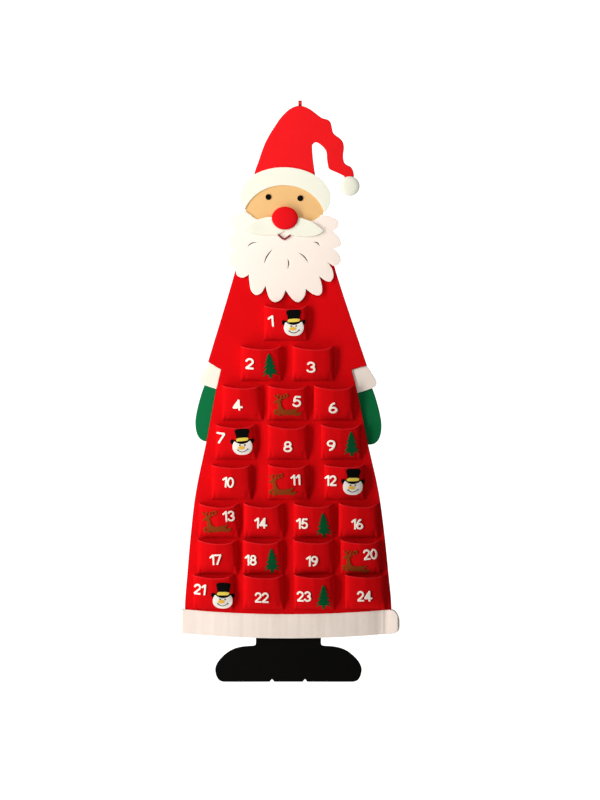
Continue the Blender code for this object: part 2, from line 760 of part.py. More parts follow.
def features(parent):
    """Eyes and nose, moustache and mouth, about the nose."""
    for name, side in (("eye_left", -1), ("eye_right", 1)):
        eye = pad(name, EYE_RADIUS, EYE_RADIUS, EYE_THICKNESS, EYE_SEGMENTS)
        x = EYE_MIDDLE + side * EYE_SPREAD / 2
        z = NOSE_DROP + EYE_LEVEL
        placed(eye, parent, head_place(x, z, TRIM_BACK), FELT_BLACK)
    top = from_shares(MOUSTACHE_TOP_SHARES, MOUSTACHE_WIDTH / 2, MOUSTACHE_HEIGHT)
    lower = from_shares(MOUSTACHE_LOWER_SHARES, MOUSTACHE_WIDTH / 2, MOUSTACHE_HEIGHT)
    half = curve_through(top, MOUSTACHE_STEPS) + curve_through([top[-1], *lower], MOUSTACHE_STEPS)[1:]
    outline = turned(mirrored(half), HEAD_TILT_DEG)
    moustache = felt_sheet("moustache", outline, OVER_BACK, TRIM_FELT)
    placed(moustache, parent, head_place(0, -MOUSTACHE_DROP, 0), FELT_WHITE)
    nose = pad("nose", NOSE_WIDTH / 2, NOSE_HEIGHT / 2, NOSE_THICKNESS, NOSE_SEGMENTS)
    placed(nose, parent, head_place(0, 0, OVER_FRONT - LAYER_GAP), NOSE_RED)
    line = bpy.data.curves.new("mouth", "CURVE")
    line.dimensions = "3D"
    line.bevel_depth = MOUTH_CORD / 2
    line.bevel_resolution = MOUTH_SIDES
    line.use_fill_caps = True
    run = line.splines.new("POLY")
    run.points.add(len(MOUTH_SHARES) - 1)
    bends = turned(from_shares(MOUTH_SHARES, MOUTH_WIDTH, MOUTH_DEPTH), HEAD_TILT_DEG)
    for point, (x, z) in zip(run.points, bends):
        point.co = (x, 0, z, 1)
    y = TRIM_FRONT - LAYER_GAP - MOUTH_CORD / 2
    placed(bpy.data.objects.new("mouth", line), parent, head_place(0, -MOUTH_DROP, y), MOUTH_RED)


def slit(start, end, bow):
    """A crescent cut along a bowed chord."""
    a, b = Vector(start), Vector(end)
    along = b - a
    across = Vector((-along.y, along.x)).normalized()
    outer, inner = [], []
    for step in range(SLIT_STEPS + 1):
        share = step / SLIT_STEPS
        swell = math.sin(math.pi * share)
        middle = a + along * share + across * (bow * along.length * swell)
        outer.append(tuple(middle + across * (SLIT_WIDTH / 2 * swell)))
        if 0 < step < SLIT_STEPS:
            inner.append(tuple(middle - across * (SLIT_WIDTH / 2 * swell)))
    return outer + inner[::-1]


def beard(parent):
    """Scalloped edge of lobes, each a smooth run that meets the next at a notch."""
    outline = from_shares((BEARD_LOBE_SHARES[-1][-1],), BEARD_WIDTH, BEARD_HEIGHT)
    for lobe in (BEARD_TOP_SHARES, *BEARD_LOBE_SHARES):
        run = [outline[-1], *from_shares(lobe, BEARD_WIDTH, BEARD_HEIGHT)]
        outline += curve_through(run, BEARD_STEPS)[1:]
    cuts = []
    for start, end, bow in SLIT_SHARES:
        cuts.append(slit(*from_shares((start, end), BEARD_WIDTH, BEARD_HEIGHT), bow))
    sheet = felt_sheet("beard", outline[1:], TRIM_BACK, TRIM_FELT, holes=cuts)
    placed(sheet, parent, (HEAD_X, 0, BEARD_BOTTOM_Z), FELT_CREAM)


def hem_curve(x):
    """How far the robe's lower edge and the hem rise at x from the middle, to their ends."""
    return HEM_SAG * min(1, abs(x) / ROBE_HALF) ** 2


def robe_middle(z):
    """The robe's middle line, which leans a little to the left going up."""
    return ROBE_X - ROBE_LEAN * (z - ROBE_BOTTOM_Z)


def robe(parent):
    side = from_shares(ROBE_SIDE_SHARES, ROBE_HALF, ROBE_HEIGHT)
    half = [(0.0, ROBE_HEIGHT), *side]
    for step in range(HEM_SPANS + 1):
        x = ROBE_HALF * (1 - step / HEM_SPANS)
        half.append((x, hem_curve(x)))
    corner = half.index(side[SLEEVE_CORNER_INDEX])
    outline = mirrored(half)
    x, z = outline[corner]
    outline[corner] = (x + RIGHT_SLEEVE_REACH, z - RIGHT_SLEEVE_DROP)
    outline = [(x - ROBE_LEAN * z, z) for x, z in outline]
    sheet = felt_sheet("robe", outline, BACKING_BACK, BACKING_FELT, spacing=ROBE_GRID)
    placed(sheet, parent, (ROBE_X, 0, ROBE_BOTTOM_Z), FELT_RED)


def arms(parent):
    """Cuff and mitten of each side, hung from the sleeve's outer corner."""
    corner_x, corner_z = ROBE_SIDE_SHARES[SLEEVE_CORNER_INDEX]
    for name, side, rise in (("left", -1, LEFT_ARM_RISE), ("right", 1, 0)):
        place_z = ROBE_BOTTOM_Z + corner_z * ROBE_HEIGHT + rise
        place = (ROBE_X + side * corner_x * ROBE_HALF, 0, place_z)
        at = (-CUFF_CORNER_SHARES[0] * CUFF_WIDTH, -CUFF_CORNER_SHARES[1] * CUFF_HEIGHT)
        outline = flipped(from_shares(CUFF_SHARES, CUFF_WIDTH, CUFF_HEIGHT, *at), side)
        cuff = felt_sheet(f"cuff_{name}", outline, BEHIND_BACK, TRIM_FELT)
        placed(cuff, parent, place, FELT_WHITE)
        at = (-MITTEN_CORNER_SHARES[0] * MITTEN_WIDTH, -MITTEN_CORNER_SHARES[1] * MITTEN_HEIGHT)
        shape = from_shares(MITTEN_SHARES, MITTEN_WIDTH, MITTEN_HEIGHT, *at)
        outline = flipped(curve_through(shape, MITTEN_STEPS), side)
        mitten = felt_sheet(f"mitten_{name}", outline, REAR_BACK, TRIM_FELT)
        placed(mitten, parent, place, FELT_GREEN)


def hem(parent):
    """A band across the front whose ends fold loosely round the robe's edges to its back."""
    front_y = TRIM_BACK - TRIM_FELT / 2
    flap_x = ROBE_HALF - HEM_FLAP
    stations = []
    for side, reach in ((-1, HEM_LEFT_REACH), (1, HEM_RIGHT_REACH)):
        bend_x = ROBE_HALF + reach - HEM_FOLD_RADIUS
        fold = [(side * flap_x, -front_y), (side * (ROBE_HALF - HEM_FOLD_RADIUS), -front_y)]
        for across, up in HEM_FOLD_SHARES:
            fold.append((side * (bend_x + across * HEM_FOLD_RADIUS), up * HEM_FOLD_RADIUS))
        fold.append((side * (ROBE_HALF - HEM_FOLD_RADIUS), front_y))
        line = curve_through(fold, HEM_STEPS)
        stations.append(line)
    left, right = stations
    run = []
    for step in range(1, HEM_SPANS):
        start, end = left[-1][0], right[-1][0]
        run.append((start + (end - start) * step / HEM_SPANS, front_y))
    line = left + run + right[::-1]
    placed(
        band("hem", [(x, y, hem_curve(x), hem_curve(x) + HEM_HEIGHT) for x, y in line], TRIM_FELT),
        parent,
        (ROBE_X, 0, HEM_BOTTOM_Z),
        FELT_CREAM,
    )


def boots(parent):
    """Both boots in one cut, with a neck tucked up behind the robe and two notches at the soles."""
    neck_x, neck_z = BOOTS_NECK_SHARES
    half_width = BOOTS_WIDTH / 2
    side = [(neck_x * half_width, neck_z * BOOTS_HEIGHT)]
    side += from_shares(BOOTS_SHARES, half_width, BOOTS_HEIGHT)
    half = [(0.0, BOOTS_HEIGHT + BOOTS_TUCK), (neck_x * half_width, BOOTS_HEIGHT + BOOTS_TUCK)]
    half += curve_through(side, BOOTS_STEPS)
    half += from_shares(BOOTS_NOTCH_SHARES, half_width, BOOTS_HEIGHT)
    outline = [(x, z - BOOTS_HEIGHT) for x, z in mirrored(half)]
    sheet = felt_sheet("boots", outline, BEHIND_BACK, TRIM_FELT)
    placed(sheet, parent, (ROBE_X, 0, HEM_BOTTOM_Z), FELT_BLACK)


def bulge(across, up):
    """How far a pocket's front stands off, as a share of its depth, at shares of its mouth's half
    width and of its height."""
    side = 1 - min(1, abs(across)) ** BULGE_SIDE_POWER
    base = (1 - (1 - min(1, max(0, up))) ** BULGE_BASE_POWER) ** BULGE_BASE_ROUNDING
    return side * base


def pocket_places():
    """Middle x, bottom z and width of each pocket, from number 1."""
    found = []
    top = POCKETS_TOP_Z
    for row in POCKET_ROW_SHARES:
        gaps, below, width_share, shift = row
        width = width_share * POCKET_WIDTH
        x = robe_middle(top) + shift * POCKET_GAP - row_width(row) / 2 + width / 2
        for gap in (*gaps, 0):
            found.append((x, top - POCKET_HEIGHT, width))
            x += width + gap * POCKET_GAP
        top -= POCKET_HEIGHT + below * ROW_GAP
    return found


def pocket(name, place, parent):
    """A sheet sewn flat at its sides and bottom, that stands off between them as far as its rim."""
    x, z, width = place
    mouth = width / 2 - POCKET_SEAM
    rise = POCKET_HEIGHT - POCKET_SEAM
    columns = [(share * mouth, share) for share in BULGE_ACROSS_SHARES]
    columns = [(-width / 2, -1), *columns, (width / 2, 1)]
    rows = [(0.0, 0), *((POCKET_SEAM + share * rise, share) for share in BULGE_UP_SHARES)]
    points = []
    for height, up in rows:
        for side, across in columns:
            sag = RIM_SAG * up**2 * (1 - across**2)
            points.append((side, -bulge(across, up) * POCKET_DEPTH, height - sag))
    wide = len(columns)
    faces = []
    for row in range(len(rows) - 1):
        for column in range(wide - 1):
            a = row * wide + column
            faces.append((a, a + 1, a + wide + 1, a + wide))
    mesh = bpy.data.meshes.new(name)
    mesh.from_pydata(points, [], faces)
    obj = bpy.data.objects.new(name, mesh)
    thicken = obj.modifiers.new("felt", "SOLIDIFY")
    thicken.thickness = POCKET_FELT
    thicken.offset = 1
    thicken.use_even_offset = True
    obj.data.shade_smooth()
    obj.data.set_sharp_from_angle(angle=math.radians(SHARP_DEG))
    placed(obj, parent, (x, TRIM_BACK, z), FELT_RED)


def ornament_outline(kind):
    """Outline of an ornament about its own middle."""
    if kind == "snowman":
        hat_line = from_shares(SNOWMAN_HAT_SHARES, SNOWMAN_WIDTH, SNOWMAN_HEIGHT, z=-SNOWMAN_HEIGHT / 2)
        middle = (SNOWMAN_FACE_HEIGHT - SNOWMAN_HEIGHT) / 2
        half_width, half_height = SNOWMAN_FACE_WIDTH / 2, SNOWMAN_FACE_HEIGHT / 2
        start = math.asin((hat_line[-1][1] - middle) / half_height)
        sweep = math.pi + 2 * start
        for step in range(1, SNOWMAN_FACE_SEGMENTS):
            angle = start - sweep * step / SNOWMAN_FACE_SEGMENTS
            x, z = ellipse_point(half_width, half_height, angle)
            hat_line.append((x, z + middle))
        return hat_line
    if kind == "tree":
        return mirrored(from_shares(TREE_SHARES, TREE_WIDTH / 2, TREE_HEIGHT, z=-TREE_HEIGHT / 2))
    return from_shares(
        REINDEER_SHARES, REINDEER_WIDTH, REINDEER_HEIGHT, x=-REINDEER_WIDTH / 2, z=-REINDEER_HEIGHT / 2
    )


def ornament(kind, number, across, up, tilt, place, parent, material):
    """A felt ornament laid over its pocket's front, which it touches where the front stands highest.
    Past ORNAMENT_FLAT_SHARES, where the pocket turns in to its seams, the ornament runs straight on."""
    pocket_x, pocket_z, width = place
    mouth = width / 2 - POCKET_SEAM
    rise = POCKET_HEIGHT - POCKET_SEAM
    middle_x = across * width / 2
    middle_z = POCKET_HEIGHT / 2 + up * POCKET_HEIGHT
    limit_across, limit_up = ORNAMENT_FLAT_SHARES

    def back(x, z):
        """About where the pocket's front is, from the ornament's middle."""
        u, v = (x + middle_x) / mouth, (z + middle_z - POCKET_SEAM) / rise
        near_u = max(-limit_across, min(limit_across, u))
        near_v = max(limit_up, v)
        step = SLOPE_STEP_SHARE
        here = bulge(near_u, near_v)
        slope_u = (bulge(near_u + step, near_v) - bulge(near_u - step, near_v)) / (2 * step)
        slope_v = (bulge(near_u, near_v) - bulge(near_u, near_v - step)) / step
        return -POCKET_DEPTH * (here + slope_u * (u - near_u) + slope_v * (v - near_v))

    outline = turned(ornament_outline(kind), -tilt)
    corners, faces = triangles_of(outline, (), ORNAMENT_GRID)
    front = BVHTree.FromObject(bpy.data.objects[f"pocket_{number:02d}"], graph)
    lift = 0.0
    for face in faces:
        ends = [Vector((x, back(x, z), z)) for x, z in (corners[i] for i in face)]
        for weights in TRIANGLE_SAMPLES:
            spot = sum((share * end for share, end in zip(weights, ends)), Vector())
            hit, *_ = front.ray_cast(spot + Vector((middle_x, -ROBE_HALF, middle_z)), (0, 1, 0))
            if hit:
                lift = max(lift, spot.y - hit.y)
    lift += ORNAMENT_GAP
    sheet = felt_sheet(
        f"{kind}_{number:02d}",
        outline,
        lambda x, z: back(x, z) - lift,
        ORNAMENT_FELT,
        spacing=ORNAMENT_GRID,
    )
    placed(sheet, parent, (pocket_x + middle_x, TRIM_BACK, pocket_z + middle_z), material)


for old in list(bpy.data.objects):
    bpy.data.objects.remove(old)

FELT_RED = felt("red felt", 205, 16, 24)
FELT_WHITE = felt("white felt", 250, 246, 236)
FELT_CREAM = felt("cream felt", 248, 238, 226)
FELT_TAN = felt("tan felt", 250, 200, 128)
FELT_GREEN = felt("green felt", 22, 112, 66)
FELT_BLACK = felt("black felt", 14, 13, 12)
FELT_BROWN = felt("brown felt", 132, 62, 24)
NOSE_RED = felt("nose red felt", 224, 20, 28)
MOUTH_RED = felt("dark red cord", 138, 12, 26, 0.8)
RIBBON_RED = felt("red ribbon", 196, 30, 30, 0.7)

ORNAMENT_FELTS = {"snowman": FELT_WHITE, "tree": FELT_GREEN, "reindeer": FELT_BROWN}

nail = pivot("nail_point", (0, 0, 0))
calendar = pivot("calendar_hinge", (0, 0, HAT_TOP_Z))
boots_axis = Vector((ROBE_X, (BEHIND_FRONT + BEHIND_BACK) / 2, BOOTS_AXIS_Z))
boots_hinge = pivot("boots_hinge", boots_axis)

hanging_loop(nail)
hat(calendar)
pompom(calendar)
face(calendar)
brim(calendar)
features(calendar)
beard(calendar)
robe(calendar)
arms(calendar)
hem(calendar)
places = pocket_places()
for number, place in enumerate(places, 1):
    pocket(f"pocket_{number:02d}", place, calendar)
graph = bpy.context.evaluated_depsgraph_get()
for kind, number, across, up, tilt in ORNAMENT_TABLE_SHARES:
    ornament(kind, number, across, up, tilt, places[number - 1], calendar, ORNAMENT_FELTS[kind])
boots(boots_hinge)
boots_hinge.parent = calendar
boots_hinge.location -= calendar.location
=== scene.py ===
"""Looks of the felt Santa advent calendar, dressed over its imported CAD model.

Metres, +Z up, its front towards -Y, the origin where the nail bears. Every CAD node here is cloth, so each
one is replaced by a modelled piece that takes its outline or its box from the node.
"""

import json
import math
import random

import bmesh
import bpy
import numpy as np
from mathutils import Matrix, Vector
from mathutils.geometry import delaunay_2d_cdt


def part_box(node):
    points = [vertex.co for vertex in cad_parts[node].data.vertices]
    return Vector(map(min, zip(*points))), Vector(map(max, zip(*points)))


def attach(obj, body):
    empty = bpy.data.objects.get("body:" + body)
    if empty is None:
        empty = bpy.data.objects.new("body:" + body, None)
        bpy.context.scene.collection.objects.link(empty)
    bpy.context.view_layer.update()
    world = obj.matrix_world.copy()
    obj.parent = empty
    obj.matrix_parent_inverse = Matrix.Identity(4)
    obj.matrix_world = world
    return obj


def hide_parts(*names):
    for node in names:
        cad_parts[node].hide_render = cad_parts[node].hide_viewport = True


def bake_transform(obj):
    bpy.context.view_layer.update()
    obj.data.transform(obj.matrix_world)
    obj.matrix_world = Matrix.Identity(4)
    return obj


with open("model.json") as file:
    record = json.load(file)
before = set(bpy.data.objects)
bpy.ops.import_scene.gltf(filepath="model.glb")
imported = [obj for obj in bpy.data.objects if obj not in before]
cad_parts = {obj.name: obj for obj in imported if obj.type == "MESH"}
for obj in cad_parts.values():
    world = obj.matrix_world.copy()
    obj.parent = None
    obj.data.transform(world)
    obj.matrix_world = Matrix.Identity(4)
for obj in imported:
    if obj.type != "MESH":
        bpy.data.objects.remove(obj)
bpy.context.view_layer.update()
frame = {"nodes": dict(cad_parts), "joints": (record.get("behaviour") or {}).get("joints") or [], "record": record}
SLOTS = {part["node"]: part["material_slot"] for part in frame["record"]["subparts"]}

# Where the photograph's pixels lie on the calendar's own plane
PHOTO_METRE = 0.001887
PHOTO_NAIL = (300.1, 101.7)
PHOTO_SIZE = (600, 800)

# Camera and light
VIEW_ABOVE_DEG = 6.0
VIEW_DISTANCE = 20.0
VIEW_ZOOM = 0.9945
VIEW_MIDDLE = (300, 399.7)
SENSOR_MM = 36.0
# Each light's place, aim, size, spread in degrees and watts
LIGHTS = {
    "key": ((-0.80, -0.50, -0.44), (-0.04, 0.0, -0.48), (0.24, 1.90), 180, 16.0),
    "top": ((0.10, -1.20, 0.50), (0.02, 0.0, -0.05), (0.5, 0.5), 60, 1.2),
    "back": ((0.7, 1.7, 0.1), (0.0, 0.0, -0.55), (1.0, 1.0), 180, 16.0),
}
SKY_LIGHT = 0.09
SKY_SEEN = 1.3
FLOOR_Z = -1.70
FLOOR_RADIUS = 1.7
FLOOR_FADE = (1.0, 1.65)
FLOOR_GLOW = 0.55

# Felt sheets
WELD = 1e-6
# Below this a length or a cross product counts as none
TINY = 1e-12
LEAST_POINTS = 8
SLIVER_POINTS = 5
FRONT_NORMAL = -0.1
ROBE_STEP = 0.004
# How much of a felt's edge colour goes onto its marked edges: paler fibres on most felts, painted edge shade on
# the robe and hat, paler fibres with a painted highlight on the pocket rims
EDGE_TONE_AND_LIGHT_SHARE = 0.75
CORNER_DEG = 40
# Part of the robe that the beard covers, darkened there as painted shade: its middle and half size in x and z
BEHIND_BEARD = (-0.030, -0.262)
BEHIND_BEARD_HALF = (0.092, 0.054)
BEHIND_BEARD_SOFT = 0.2
# Share of the robe's colour kept behind the beard: painted shade
BEARD_PAINTED_SHADE_SHARE = 0.10
EDGE_ROUND_SHARE = 0.36
INSET_CLEARANCE_SHARE = 0.22
OUTLINE_STEP = 0.0022
SHEET_GRID = 0.016
SWAY = 0.0007
# Radians a metre across and down, and phase
SWAY_WAVES = ((13.0, 0.7, 0.0), (5.0, 9.0, 1.3), (-21.0, 6.0, 2.1), (2.0, 17.0, 0.6))
SWAY_TOP_Z = -0.030
SWAY_BOTTOM_Z = -0.985
SWAY_EASE = 0.06

# Beard lobes and moustache ends that stand off what is behind them
BEARD_FREE_Z = -0.285
BEARD_FREE_LENGTH = 0.09
BEARD_LIFT = 0.0042
MOUSTACHE_LIFT = 0.0016
MOUSTACHE_HELD_SHARE = 0.4
# Half the height of the boots' bend at their seam; the boots are left flat, not bent
BOOTS_BEND = 0.003

# Pockets
POCKET_SEAM = 0.0014
POCKET_DEPTH = 0.0170
POCKET_FELT = 0.0018
POCKET_SAG = 0.0064
POCKET_LOWEST_ACROSS = 0.22
POCKET_BELLY = 0.027
POCKET_BELLY_POWER = 2.2
POCKET_BASE_POWER = 0.85
POCKET_PINCH_POWER = 0.7
POCKET_HANG_POWER = 1.5
POCKET_RIM_POWERS = (1.9, 2.8)
POCKET_ROW_POWER = 1.2
POCKET_SIDE_POWER = 18
POCKET_ARCH_POWER = 2.2
POCKET_CROWN_SHARE = 0.30
POCKET_LEFT_LEAN = -0.10
POCKET_LEAN_SHARE = 0.20
POCKET_FLARE = 0.0012
POCKET_FLARE_HEIGHT = 0.010
POCKET_TUCK = 0.0018
POCKET_TUCK_PLACE = (0.84, 0.12)
POCKET_TUCK_SIZE = (0.09, 0.11)
# What varies from pocket to pocket
POCKET_DEPTH_CHANCE = (0.92, 1.03)
POCKET_LEFT_PINCH = 0.02
POCKET_LEAN_CHANCE = 0.05
POCKET_RIPPLES = 2
POCKET_RIPPLE = 0.025
POCKET_RIPPLE_CHANCES = ((2, 4), (0, 6), (1, 2.5), (0, 6))
SIDE_STEPS = 600
POCKET_COLUMNS = 60
POCKET_ROWS = 30
RIM_BAND = 0.0026
RIM_BAND_ROWS = 4
RIM_THIN_SHARE = 0.35
RIM_STEPS = 4
DRAPE_ACROSS = 0.90
DRAPE_SLOPE_SHARE = 0.96
DRAPE_TRIES = 4
# How far the right wall of each pocket's mouth leans in, and how deep its rim hangs, in shares
POCKET_SHAPE_SHARES = {
    1: (0.03, 0.85), 2: (0.06, 0.85), 3: (0.03, 0.95), 4: (0.24, 0.70), 5: (0.03, 0.85), 6: (0.05, 0.95),
    7: (0.12, 0.85), 8: (0.03, 1.05), 9: (0.06, 1.00), 10: (0.08, 0.75), 11: (0.05, 0.80),
    12: (0.05, 0.55), 13: (0.10, 1.10), 14: (0.22, 1.10), 15: (0.06, 0.95), 16: (0.04, 1.00),
    17: (0.15, 1.05), 18: (0.15, 1.00), 19: (0.06, 0.90), 20: (0.04, 0.95), 21: (0.06, 0.85),
    22: (0.08, 0.85), 23: (0.06, 0.75), 24: (0.04, 0.65),
}

# Numbers: height, widening and stroke of the digits of a number of one digit, and of two
DIGIT_SIZES = {1: (0.0212, 1.10, 0.0036), 2: (0.0203, 0.89, 0.0034)}
DIGIT_THICKNESS = 0.0016
DIGIT_SINK = 0.0002
DIGIT_END_POWER = 0.45
DIGIT_STEP = 0.0007
STROKE_STEP_DEG = 12
STROKE_END_STEPS = 8

# Ornaments
ORNAMENT_FELT = 0.0015
ORNAMENT_STEP = 0.0006
ORNAMENT_GRID = 0.006
OVERLAP_SINK = 0.0001

# Sewing
STITCH_LENGTH = 0.0032
STITCH_GAP = 0.0013
STITCH_RADIUS = 0.00032
STITCH_SIDES = 6
# Along a stitch: place and girth
STITCH_SHARES = ((-1.0, 0.25), (-0.8, 0.85), (0.0, 1.0), (0.8, 0.85), (1.0, 0.25))
YARN_END_SHARES = (0.5, 0.85, 0.99)

# Stuffed pads
PAD_SEGMENTS = 48
PAD_RINGS = 14
PAD_POWER = 2.6
PAD_RIM_SHARE = 0.25

# Hem
HEM_FELT = 0.0020
HEM_SAG = 0.0092
HEM_HEIGHT = 0.0457
HEM_FRONT_Y = -0.00255
HEM_FLAP = 0.0180
HEM_FLAP_EASE = 0.006
HEM_FOLD_RADIUS = 0.0042
# Half circle of a fold, in shares of its radius
HEM_FOLD_SHARES = (
    (0.0, 1.0), (0.5, 0.9), (0.87, 0.5), (1.0, 0.0), (0.87, -0.5), (0.5, -0.9), (0.0, -1.0),
)
# How far the front stands out where the right end bends back, over what length, and how that end
# is rounded at its top and its base
HEM_RIGHT_SWELL = 0.0090
HEM_SWELL_LENGTH = 0.022
HEM_RIGHT_SPARE = 0.0015
HEM_ROUND_LENGTH = 0.0150
HEM_ROUND_TOP = 0.0220
HEM_ROUND_BASE = 0.0120
HEM_STEP = 0.0015
HEM_ROWS = 14
HEM_FOLD_STEPS = 4
# Creases towards the hem's right end: place, width and how far each stands forward, in metres
HEM_CREASES = ((0.147, 0.014, 0.0007), (0.170, 0.009, -0.0007), (0.1785, 0.0022, 0.0006))
# Ripples along the hem: radians a metre, height in metres and phase
HEM_RIPPLES = (
    (37.0, 0.00018, 0.4),
    (83.0, 0.00014, 1.7),
    (171.0, 0.00010, 2.9),
    (290.0, 0.00007, 0.9),
    (520.0, 0.00004, 2.2),
)

# Ribbon
RIBBON_THICKNESS = 0.0009
RIBBON_TAIL = 0.0140
TAIL_STEPS = 8
RIBBON_GAP = 0.0003
LOOP_HEIGHT = 0.0094
LOOP_BORE = 0.0032
LOOP_NECK_SHARE = 0.09
LOOP_MOUTH_DEG = 30
LOOP_SEGMENTS = 40
RIBBON_ROWS = 6

# Mouth, a cord laid on the face
MOUTH_SHARES = ((-0.5, 0.0), (-0.1, -0.88), (0.0, -1.0), (0.1, -0.88), (0.5, 0.0))
MOUTH_CORD = 0.0033
MOUTH_WIDEN = 1.15
MOUTH_TILT_DEG = 2.2
MOUTH_ENDS_SHARE = 0.7
MOUTH_STEPS = 5

# Pixel of the photograph at each number's middle, and its tilt in degrees, counter-clockwise
NUMBER_PLACES = {
    1: (271, 321, 5), 2: (250, 363.4, -3), 3: (311, 367, 0), 4: (238, 405, 4), 5: (297, 401.2, -3),
    6: (333, 407.6, 0), 7: (221, 437.8, -6), 8: (288, 446.4, 0), 9: (331, 445.3, 0), 10: (228.5, 482, -4),
    11: (295.6, 479.8, 3), 12: (330.4, 480.4, 0), 13: (229, 516, 3), 14: (261, 522.9, -2),
    15: (302, 523.4, 0), 16: (357, 524, 0), 17: (216, 559.5, 3), 18: (251, 560, 0), 19: (312, 561, 0),
    20: (370, 554.2, 4), 21: (200.4, 589.3, -5), 22: (262, 597.5, -2), 23: (304, 596.4, 0),
    24: (364.5, 596.2, 0),
}

# Snowman, in shares of its height, up from its chin. Right half of the hat, from its top down
SNOWMAN_HEIGHT = 0.0503
SNOWMAN_HAT_SHARES = (
    (0.0, 1.0), (0.150, 0.997), (0.232, 0.975), (0.270, 0.935), (0.270, 0.880), (0.246, 0.800),
    (0.228, 0.720), (0.222, 0.650), (0.238, 0.590), (0.280, 0.568), (0.330, 0.590), (0.380, 0.610),
    (0.428, 0.592), (0.447, 0.540), (0.434, 0.475), (0.392, 0.425), (0.350, 0.452), (0.292, 0.546),
    (0.200, 0.482), (0.100, 0.444), (0.0, 0.430),
)
SNOWMAN_FACE_SHARES = (
    (0.0, 0.0), (0.115, 0.008), (0.220, 0.046), (0.305, 0.120), (0.356, 0.220), (0.370, 0.325),
    (0.348, 0.435), (0.290, 0.532), (0.200, 0.472), (0.100, 0.435), (0.0, 0.421),
)
SNOWMAN_BAND_SHARES = (
    (-0.212, 0.534), (-0.100, 0.528), (0.050, 0.532), (0.190, 0.550), (0.226, 0.594), (0.214, 0.645),
    (0.100, 0.661), (-0.050, 0.656), (-0.176, 0.642), (-0.226, 0.590),
)
SNOWMAN_NOSE_SHARES = (
    (-0.190, 0.280), (-0.115, 0.232), (-0.030, 0.212), (0.042, 0.235), (0.074, 0.288), (0.040, 0.334),
    (-0.050, 0.350), (-0.145, 0.322),
)
SNOWMAN_EYES_SHARES = ((-0.098, 0.380), (0.088, 0.382))
SNOWMAN_EYE_SHARE = 0.030
SNOWMAN_SMILE_SHARES = ((-0.176, 0.196), (-0.109, 0.146), (-0.004, 0.117), (0.097, 0.150), (0.192, 0.218))
SNOWMAN_DIMPLE_SHARE = 0.026
SNOWMAN_FACE_FELT = 0.0018
SNOWMAN_TRIM_FELT = 0.0008
SNOWMAN_TILTS = {1: 1.0, 7: 2.0, 12: -2.0, 21: -3.0}
SNOWMAN_YARN = 0.00065
SNOWMAN_STEPS = 4
SNOWMAN_HAT_STEPS = 3
SMILE_STEPS = 6
DOT_POINTS = 14

# Right half of a fir tree from its tip down, in shares of its height
TREE_HEIGHT = 0.0480
TREE_SHARES = (
    (0.0, 1.0), (0.044, 0.930), (0.100, 0.840), (0.040, 0.846), (0.158, 0.728), (0.062, 0.738),
    (0.208, 0.585), (0.086, 0.600), (0.254, 0.412), (0.112, 0.430), (0.296, 0.226), (0.140, 0.248),
    (0.326, 0.092), (0.240, 0.118), (0.140, 0.164), (0.060, 0.140), (0.054, 0.0),
)
# Strokes of a leaping reindeer in shares of its length, from its middle: radius, then its points
REINDEER_LENGTH = 0.0532
REINDEER_SHARES = (
    (0.098, ((-0.185, -0.250), (-0.041, -0.278), (0.129, -0.268), (0.238, -0.250))),
    (0.096, ((-0.215, -0.180), (-0.140, -0.250))),
    (0.080, ((-0.246, -0.100), (-0.215, -0.205))),
    (0.068, ((-0.264, 0.040), (-0.244, -0.130))),
    (0.056, ((-0.292, 0.170), (-0.264, 0.040))),
    (0.050, ((-0.296, 0.165), (-0.373, 0.130))),
    (0.036, ((-0.360, 0.130), (-0.430, 0.090))),
    (0.026, ((-0.262, 0.190), (-0.190, 0.174))),
    (0.022, ((-0.280, 0.200), (-0.193, 0.240), (-0.102, 0.245), (-0.014, 0.280), (0.037, 0.336))),
    (0.022, ((0.037, 0.336), (0.010, 0.396), (-0.030, 0.370))),
    (0.021, ((-0.190, 0.240), (-0.213, 0.305), (-0.170, 0.355))),
    (0.021, ((-0.095, 0.245), (-0.115, 0.318), (-0.065, 0.376))),
    (0.022, ((-0.305, 0.200), (-0.339, 0.275), (-0.325, 0.345), (-0.275, 0.366))),
    (0.021, ((-0.337, 0.268), (-0.407, 0.285), (-0.441, 0.346))),
    (0.036, ((-0.240, -0.200), (-0.400, -0.190), (-0.446, -0.250), (-0.392, -0.322))),
    (0.034, ((-0.200, -0.290), (-0.345, -0.315), (-0.251, -0.380))),
    (0.038, ((0.270, -0.290), (0.386, -0.312), (0.485, -0.296))),
    (0.033, ((0.180, -0.330), (0.339, -0.368), (0.441, -0.350))),
    (0.032, ((0.305, -0.195), (0.373, -0.146))),
)
ORNAMENT_TILTS = {2: 4.5, 9: 2.0, 15: 3.0, 18: 2.0, 23: 0.0, 5: 0.0, 11: 2.0, 13: 4.0, 20: -4.0}


def smooth(share):
    share = min(1.0, max(0.0, share))
    return share * share * (3 - 2 * share)


def on_plane(pixel_x, pixel_y):
    """The place (x, z) on the calendar's plane that a pixel of the photograph shows."""
    return (pixel_x - PHOTO_NAIL[0]) * PHOTO_METRE, (PHOTO_NAIL[1] - pixel_y) * PHOTO_METRE


def sway(x, z):
    """How far the hanging felt leans out of its plane at x, z. Every layer follows it."""
    held = smooth((SWAY_TOP_Z - z) / SWAY_EASE) * smooth((z - SWAY_BOTTOM_Z) / SWAY_EASE)
    waves = sum(math.sin(x * across + z * down + turn) for across, down, turn in SWAY_WAVES)
    return SWAY * waves / 2 * held


